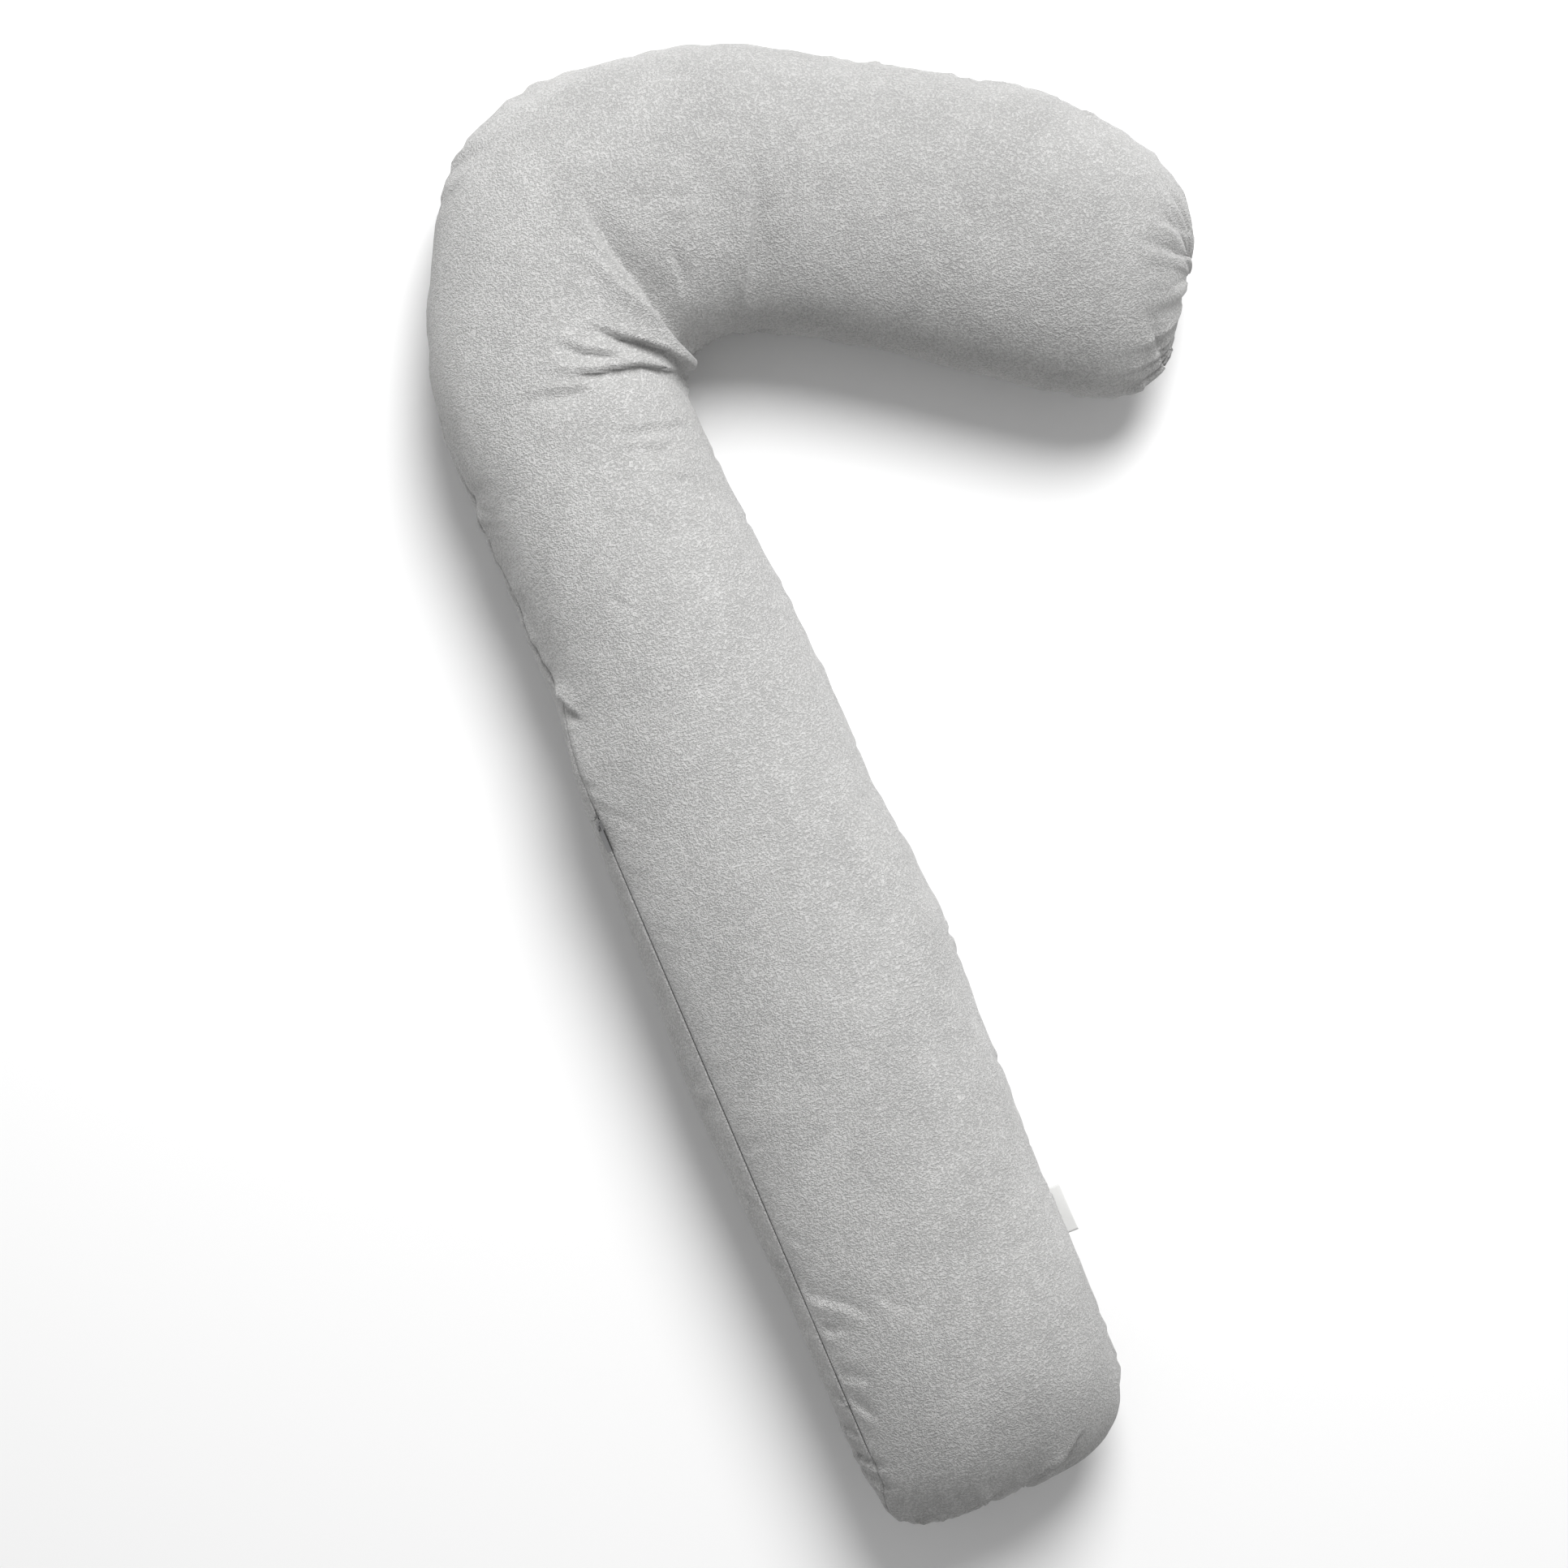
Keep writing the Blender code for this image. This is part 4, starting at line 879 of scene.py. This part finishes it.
def under_cover(name, front, from_outer, first, last, start, width, deep, thick, finish):
    """A flat ribbon under the cover, from a seam inwards, between two places on the spine."""
    rows = np.nonzero((fine_s > first) & (fine_s < last))[0]
    offsets = np.linspace(start, start + width, max(4, int(width / 0.003)))
    way = (-1 if front else 1) if from_outer else (1 if front else -1)
    columns = ((HALF if from_outer else 0) + way * np.arange(24)) % around
    line, line_normal = rings[rows][:, columns], normals[rows][:, columns]
    steps = np.linalg.norm(np.diff(line, axis=1), axis=-1)
    length = np.concatenate([np.zeros((len(rows), 1)), np.cumsum(steps, axis=1)], axis=1)
    grid = np.empty((len(rows), len(offsets), 3))
    out = np.empty_like(grid)
    for k in range(len(rows)):
        for axis in range(3):
            grid[k, :, axis] = np.interp(offsets, length[k], line[k, :, axis])
            out[k, :, axis] = np.interp(offsets, length[k], line_normal[k, :, axis])
    if way < 0:
        grid, out = grid[:, ::-1], out[:, ::-1]
    uv = np.stack(np.broadcast_arrays(offsets[None, :], fine_s[rows][:, None]), -1)
    made = shell(name, grid - out * deep, grid - out * (deep + thick), uv, finish)
    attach(made, "pillow")
    return made


tape_cloth = new_material("zip_tape")
set_values(tape_cloth, Roughness=0.8)
flat = flat_space(tape_cloth)
rib = flat.bands(260.0, "Y")
rib.finish(tape_cloth, (0.27, 0.27, 0.27), (0.36, 0.36, 0.36), 0.0002, 0.7)
for part in ("front", "back"):
    tape = under_cover(
        f"tape_{part}", part == "front", True, ZIP_FOOT, ZIP_TOP, TAPE_START, TAPE_WIDTH, TAPE_DEEP,
        TAPE_THICK, tape_cloth,
    )
    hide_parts(f"zip_tape_{part}")


def repeat_group():
    """Geometry nodes that set one piece again and again along a line, a fixed step apart."""
    tree = bpy.data.node_groups.new("repeat_along_line", "GeometryNodeTree")
    face = tree.interface
    face.new_socket("Line", in_out="INPUT", socket_type="NodeSocketGeometry")
    face.new_socket("Piece", in_out="INPUT", socket_type="NodeSocketObject")
    face.new_socket("Step", in_out="INPUT", socket_type="NodeSocketFloat")
    face.new_socket("Finish", in_out="INPUT", socket_type="NodeSocketMaterial")
    face.new_socket("Pieces", in_out="OUTPUT", socket_type="NodeSocketGeometry")
    entry = tree.nodes.new("NodeGroupInput")
    leave = tree.nodes.new("NodeGroupOutput")
    curve = tree.nodes.new("GeometryNodeMeshToCurve")
    points = tree.nodes.new("GeometryNodeResampleCurve")
    points.mode = "LENGTH"
    tangent = tree.nodes.new("GeometryNodeInputTangent")
    turn = tree.nodes.new("FunctionNodeAlignEulerToVector")
    turn.axis = "Y"
    piece = tree.nodes.new("GeometryNodeObjectInfo")
    place = tree.nodes.new("GeometryNodeInstanceOnPoints")
    real = tree.nodes.new("GeometryNodeRealizeInstances")
    paint = tree.nodes.new("GeometryNodeSetMaterial")
    link = tree.links.new
    link(entry.outputs["Line"], curve.inputs["Mesh"])
    link(curve.outputs["Curve"], points.inputs["Curve"])
    link(entry.outputs["Step"], points.inputs["Length"])
    link(points.outputs["Curve"], place.inputs["Points"])
    link(tangent.outputs["Tangent"], turn.inputs["Vector"])
    link(turn.outputs["Rotation"], place.inputs["Rotation"])
    link(entry.outputs["Piece"], piece.inputs["Object"])
    link(piece.outputs["Geometry"], place.inputs["Instance"])
    link(place.outputs["Instances"], real.inputs["Geometry"])
    link(real.outputs["Geometry"], paint.inputs["Geometry"])
    link(entry.outputs["Finish"], paint.inputs["Material"])
    link(paint.outputs["Geometry"], leave.inputs["Pieces"])
    return tree


repeating = repeat_group()


def repeat_along(name, points, step, piece, finish):
    """An object with the piece repeated along a line of points, as a plain mesh."""
    line = bpy.data.meshes.new(name + "_line")
    line.from_pydata([tuple(p) for p in points], [(k, k + 1) for k in range(len(points) - 1)], [])
    holder = add_object(name + "_line", line)
    modifier = holder.modifiers.new("Repeat", "NODES")
    modifier.node_group = repeating
    given = {"Piece": piece, "Step": step, "Finish": finish}
    for item in repeating.interface.items_tree:
        if item.name in given:
            modifier[item.identifier] = given[item.name]
    holder.update_tag()
    bpy.context.view_layer.update()
    mesh = bpy.data.meshes.new_from_object(holder.evaluated_get(bpy.context.evaluated_depsgraph_get()))
    mesh.name = name
    bpy.data.objects.remove(holder)
    bpy.data.meshes.remove(line)
    mesh.shade_smooth()
    return add_object(name, mesh)


def tube(name, centres, radius, sides=8, closed=False):
    """A round wire along a line of points, closed at its ends."""
    centres = np.asarray(centres, float)
    count = len(centres)
    if closed:
        way = np.roll(centres, -1, axis=0) - np.roll(centres, 1, axis=0)
    else:
        way = np.gradient(centres, axis=0)
    way /= np.linalg.norm(way, axis=1, keepdims=True)
    helper = np.where(np.abs(way[:, 1:2]) < 0.9, [[0.0, 1.0, 0.0]], [[1.0, 0.0, 0.0]])
    across = np.cross(way, helper)
    across /= np.linalg.norm(across, axis=1, keepdims=True)
    other = np.cross(way, across)
    turn = np.arange(sides) * 2.0 * np.pi / sides
    wire = np.broadcast_to(radius, count)[:, None, None]
    ring = across[:, None] * np.cos(turn)[None, :, None] + other[:, None] * np.sin(turn)[None, :, None]
    points = (centres[:, None] + ring * wire).reshape(-1, 3)
    index = np.arange(count * sides).reshape(count, sides)
    low, high = (index, np.roll(index, -1, axis=0)) if closed else (index[:-1], index[1:])
    corners = [low, np.roll(low, -1, axis=1), np.roll(high, -1, axis=1), high]
    faces = np.stack(corners, -1).reshape(-1, 4).tolist()
    if not closed:
        faces += [index[0, ::-1].tolist(), index[-1].tolist()]
    mesh = bpy.data.meshes.new(name)
    mesh.from_pydata(points.tolist(), [], faces)
    mesh.shade_smooth()
    return mesh


zip_out = Vector((-0.80212, 0.0, 0.59716))  # out of the cover at the zip
zip_along = Vector((0.0, 1.0, 0.0))
zip_down = zip_out.cross(zip_along)  # down the back panel

nylon = new_material("grey_nylon")
set_values(nylon, Roughness=0.38, Coat_Weight=0.15)
place = object_space(nylon)
scuffs = place.noise(900.0, 2.0)
scuffs.finish(nylon, (0.30, 0.30, 0.30), (0.37, 0.37, 0.37), 0.00005, 0.5)
TOOTH_OUT = 0.0010
TOOTH_DOWN = 0.0011
TOOTH_LEAN = 0.00022
loop = [
    zip_out * (TOOTH_OUT * math.cos(a)) + zip_down * (TOOTH_DOWN * math.sin(a))
    + zip_along * (TOOTH_LEAN * math.sin(a * 2))
    for a in np.arange(12) * 2.0 * np.pi / 12
]
tooth = add_object("tooth", tube("tooth", loop, TOOTH_WIRE, 5, closed=True))
for part in ("front", "back"):
    low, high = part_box(f"zip_coil_{part}")
    middle = (low + high) / 2.0
    line = [(middle.x, y, middle.z) for y in (low.y + 0.0005, high.y - 0.0005)]
    coil = repeat_along(f"coil_{part}", line, TOOTH_PITCH, tooth, nylon)
    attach(coil, "pillow")
    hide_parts(f"zip_coil_{part}")
bpy.data.objects.remove(tooth)

enamel = new_material("grey_enamelled_metal")
set_values(enamel, Roughness=0.34, Metallic=0.35, Coat_Weight=0.3)
place = object_space(enamel)
wear = place.noise(1400.0, 3.0)
wear.finish(enamel, (0.15, 0.15, 0.152), (0.21, 0.21, 0.212), 0.00004, 0.5)
for name in ("zip_slider", "zip_pull", "zip_top_stop_front", "zip_top_stop_back", "zip_bottom_stop"):
    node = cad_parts[name]
    node.data.materials.clear()
    node.data.materials.append(enamel)

# ---------------------------------------------------------------------------------------------------------
# The stitching: short lockstitches that hold the two cover panels together at the bottom of the seam, the
# liner's own seam, the hand stitches that close its slot, and the dark bar tacks that close the seam past the
# zip's ends, the upper one with two loose thread tails.


def thread_finish(name, first, second, roughness=0.7, plies=2600.0):
    made = new_material(name)
    set_values(made, Roughness=roughness)
    object_space(made).noise(plies, 2.0).finish(made, first, second, 0.0001, 0.6)
    return made


thread_grey = thread_finish("grey_thread", (0.36, 0.36, 0.355), (0.48, 0.475, 0.47))
thread_white = thread_finish("white_thread", (0.74, 0.74, 0.72), (0.84, 0.84, 0.82))
tack_thread = thread_finish("dark_grey_thread", (0.10, 0.10, 0.10), (0.19, 0.19, 0.185), 0.75, 2200.0)
for name in ("zip_tack_foot", "zip_tack_hook"):
    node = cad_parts[name]
    node.data.materials.clear()
    node.data.materials.append(tack_thread)
low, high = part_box("zip_tack_hook")
knot = (low + high) / 2.0 + zip_out * 0.0006
upper = zip_along * 0.0070 - zip_down * 0.0052 + zip_out * 0.0003
lower = zip_down * 0.0085 - zip_along * 0.0018 + zip_out * 0.0012
TAIL_BOW = 0.0012
TAIL_RADIUS = 0.00032
shares = np.linspace(0.0, 1.0, 6).tolist()
tails = [knot + upper * t + zip_down * (TAIL_BOW * math.sin(math.pi * t)) for t in shares[:0:-1]]
tails += [knot + lower * t - zip_along * (TAIL_BOW * math.sin(math.pi * t)) for t in shares]
tail = add_object("tack_thread_tails", tube("tack_thread_tails", tails, TAIL_RADIUS, 6), tack_thread)
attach(tail, "pillow")

LABEL_LOW = 0.196
LABEL_HIGH = 0.241
SLOT_LOW = ARM_LENGTH + BEND_LENGTH + 0.060
SLOT_HIGH = SLOT_LOW + 0.120


def seam_run(rings, normals, s, inset, pieces):
    """The points of a seam, a little inside it, along its outer line, its inner line or across an end."""
    half = rings.shape[1] // 2
    run = []
    for where, first, last in pieces:
        if where == "foot" or where == "tip":
            row = 0 if where == "foot" else -1
            across = range(1, half) if first < last else range(half - 1, 0, -1)
            run += [rings[row, k] - normals[row, k] * inset for k in across]
            continue
        column = half if where == "outer" else 0
        rows = [k for k in range(len(s)) if min(first, last) <= s[k] <= max(first, last)]
        for k in rows if first < last else rows[::-1]:
            run.append(rings[k, column] - normals[k, column] * inset)
    return run


STITCH_PLACES = (-0.0011, -0.0008, 0.0, 0.0008, 0.0011)
STITCH_RADII = (0.00012, 0.00022, 0.00026, 0.00022, 0.00012)
stitch = add_object("stitch", tube("stitch", [(0.0, y, 0.0) for y in STITCH_PLACES], STITCH_RADII, 6))
runs = (
    ("cover_stitches_hook", "cover_seam_thread_hook", "cover", 0.0011, 0.0027, [
        ("outer", ZIP_TOP + 0.02, SPINE_LENGTH), ("tip", 1, 0), ("inner", SPINE_LENGTH, LABEL_HIGH + 0.003)]),
    ("cover_stitches_foot", "cover_seam_thread_foot", "cover", 0.0011, 0.0027, [
        ("inner", LABEL_LOW - 0.003, 0.0), ("foot", 0, 1), ("outer", 0.0, ZIP_FOOT - 0.02)]),
    ("liner_stitches", "liner_seam_thread", "liner", 0.0004, 0.0030, [
        ("inner", SLOT_LOW - 0.004, 0.0), ("foot", 0, 1), ("outer", 0.0, SPINE_LENGTH), ("tip", 1, 0),
        ("inner", SPINE_LENGTH, SLOT_HIGH + 0.004)]),
    ("slot_stitches", "liner_closing_stitches", "liner", 0.0002, 0.0045, [("inner", SLOT_HIGH, SLOT_LOW)]),
)
bags = {
    "cover": (rings, normals, fine_s, thread_grey, "grey_thread"),
    "liner": (liner_rings, calm_normals, coarse_s, thread_white, "white_thread"),
}
for name, node, bag_name, inset, step, pieces in runs:
    grid, out, s, finish, slot_name = bags[bag_name]
    made = repeat_along(name, seam_run(grid, out, s, inset, pieces), step, stitch, finish)
    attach(made, "pillow")
    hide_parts(node)
bpy.data.objects.remove(stitch)

# ---------------------------------------------------------------------------------------------------------
# The labels: a small white woven ribbon, folded in half and sewn into the arm's inner seam, blank; and a
# satin care ribbon inside the cover, beside the same seam, blank as well.

RIBBON_WIDTH = 0.045
RIBBON_OUT = 0.0130
RIBBON_SEWN = 0.0025
RIBBON_THICK = 0.00035

ribbon_cloth = new_material("white_woven_ribbon")
set_values(ribbon_cloth, Roughness=0.75)
flat = flat_space(ribbon_cloth)
warp = flat.bands(900.0, "X")
weft = flat.bands(600.0, "Y")
weave = warp * weft
weave.finish(ribbon_cloth, (0.72, 0.72, 0.71), (0.80, 0.80, 0.79), 0.0001, 0.6)


def brand_ribbon():
    """Points of the folded ribbon, out of the seam, round its fold and back, for each row along the seam."""
    count = 24
    rows = np.linspace(LABEL_LOW, LABEL_HIGH, count)
    seam = np.stack([np.interp(rows, fine_s, rings[:, 0, k]) for k in range(3)], -1)
    seam = np.linspace(seam[0], seam[-1], count) * 0.6 + seam * 0.4
    out = np.array([0.985, 0.0, 0.17])
    up = np.array([-0.17, 0.0, 0.985])
    half_gap = RIBBON_THICK
    bend = np.linspace(-math.pi / 2.0, math.pi / 2.0, 7)
    path = [(x, -half_gap) for x in np.linspace(-RIBBON_SEWN, RIBBON_OUT, 9)]
    path += [(RIBBON_OUT + half_gap * math.cos(a), half_gap * math.sin(a)) for a in bend[1:-1]]
    path += [(x, half_gap) for x in np.linspace(RIBBON_OUT, -RIBBON_SEWN, 9)]
    path = np.array(path)
    lift = 0.0009 * np.sin((rows - LABEL_LOW) / RIBBON_WIDTH * math.pi * 1.3 + 0.4)
    curl = lift[:, None] * (np.clip(path[:, 0], 0.0, 1.0) / RIBBON_OUT)[None, :] ** 1.5
    points = seam[:, None] + out * path[None, :, :1] + up * (path[None, :, 1:] + curl[..., None])
    along = run_length(path)
    normal = np.gradient(path, axis=0)
    normal = np.stack([normal[:, 1], -normal[:, 0]], -1)
    normal /= np.linalg.norm(normal, axis=1, keepdims=True)
    spread = out * normal[None, :, :1] + up * normal[None, :, 1:]
    uv = np.stack(np.broadcast_arrays(along[None, :], rows[:, None]), -1)
    return points, points - spread * RIBBON_THICK, uv


outer, inner, uv = brand_ribbon()
label = shell("woven_label", outer[:, ::-1], inner[:, ::-1], uv[:, ::-1], ribbon_cloth)
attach(label, "pillow")
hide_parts("brand_label")

satin = new_material("white_satin")
set_values(satin, Roughness=0.4, Anisotropic=0.4)
flat = flat_space(satin)
sheen = flat.bands(500.0, "X")
sheen.finish(satin, (0.84, 0.84, 0.83), (0.91, 0.91, 0.90), 0.00008, 0.5)
CARE_LOW, CARE_HIGH = 0.560, 0.592
CARE_START, CARE_LENGTH = 0.003, 0.045
CARE_DEEP, CARE_THICK = 0.0021, 0.0003
care = under_cover(
    "care_ribbon", False, False, CARE_LOW, CARE_HIGH, CARE_START, CARE_LENGTH, CARE_DEEP, CARE_THICK,
    satin,
)
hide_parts("care_label")
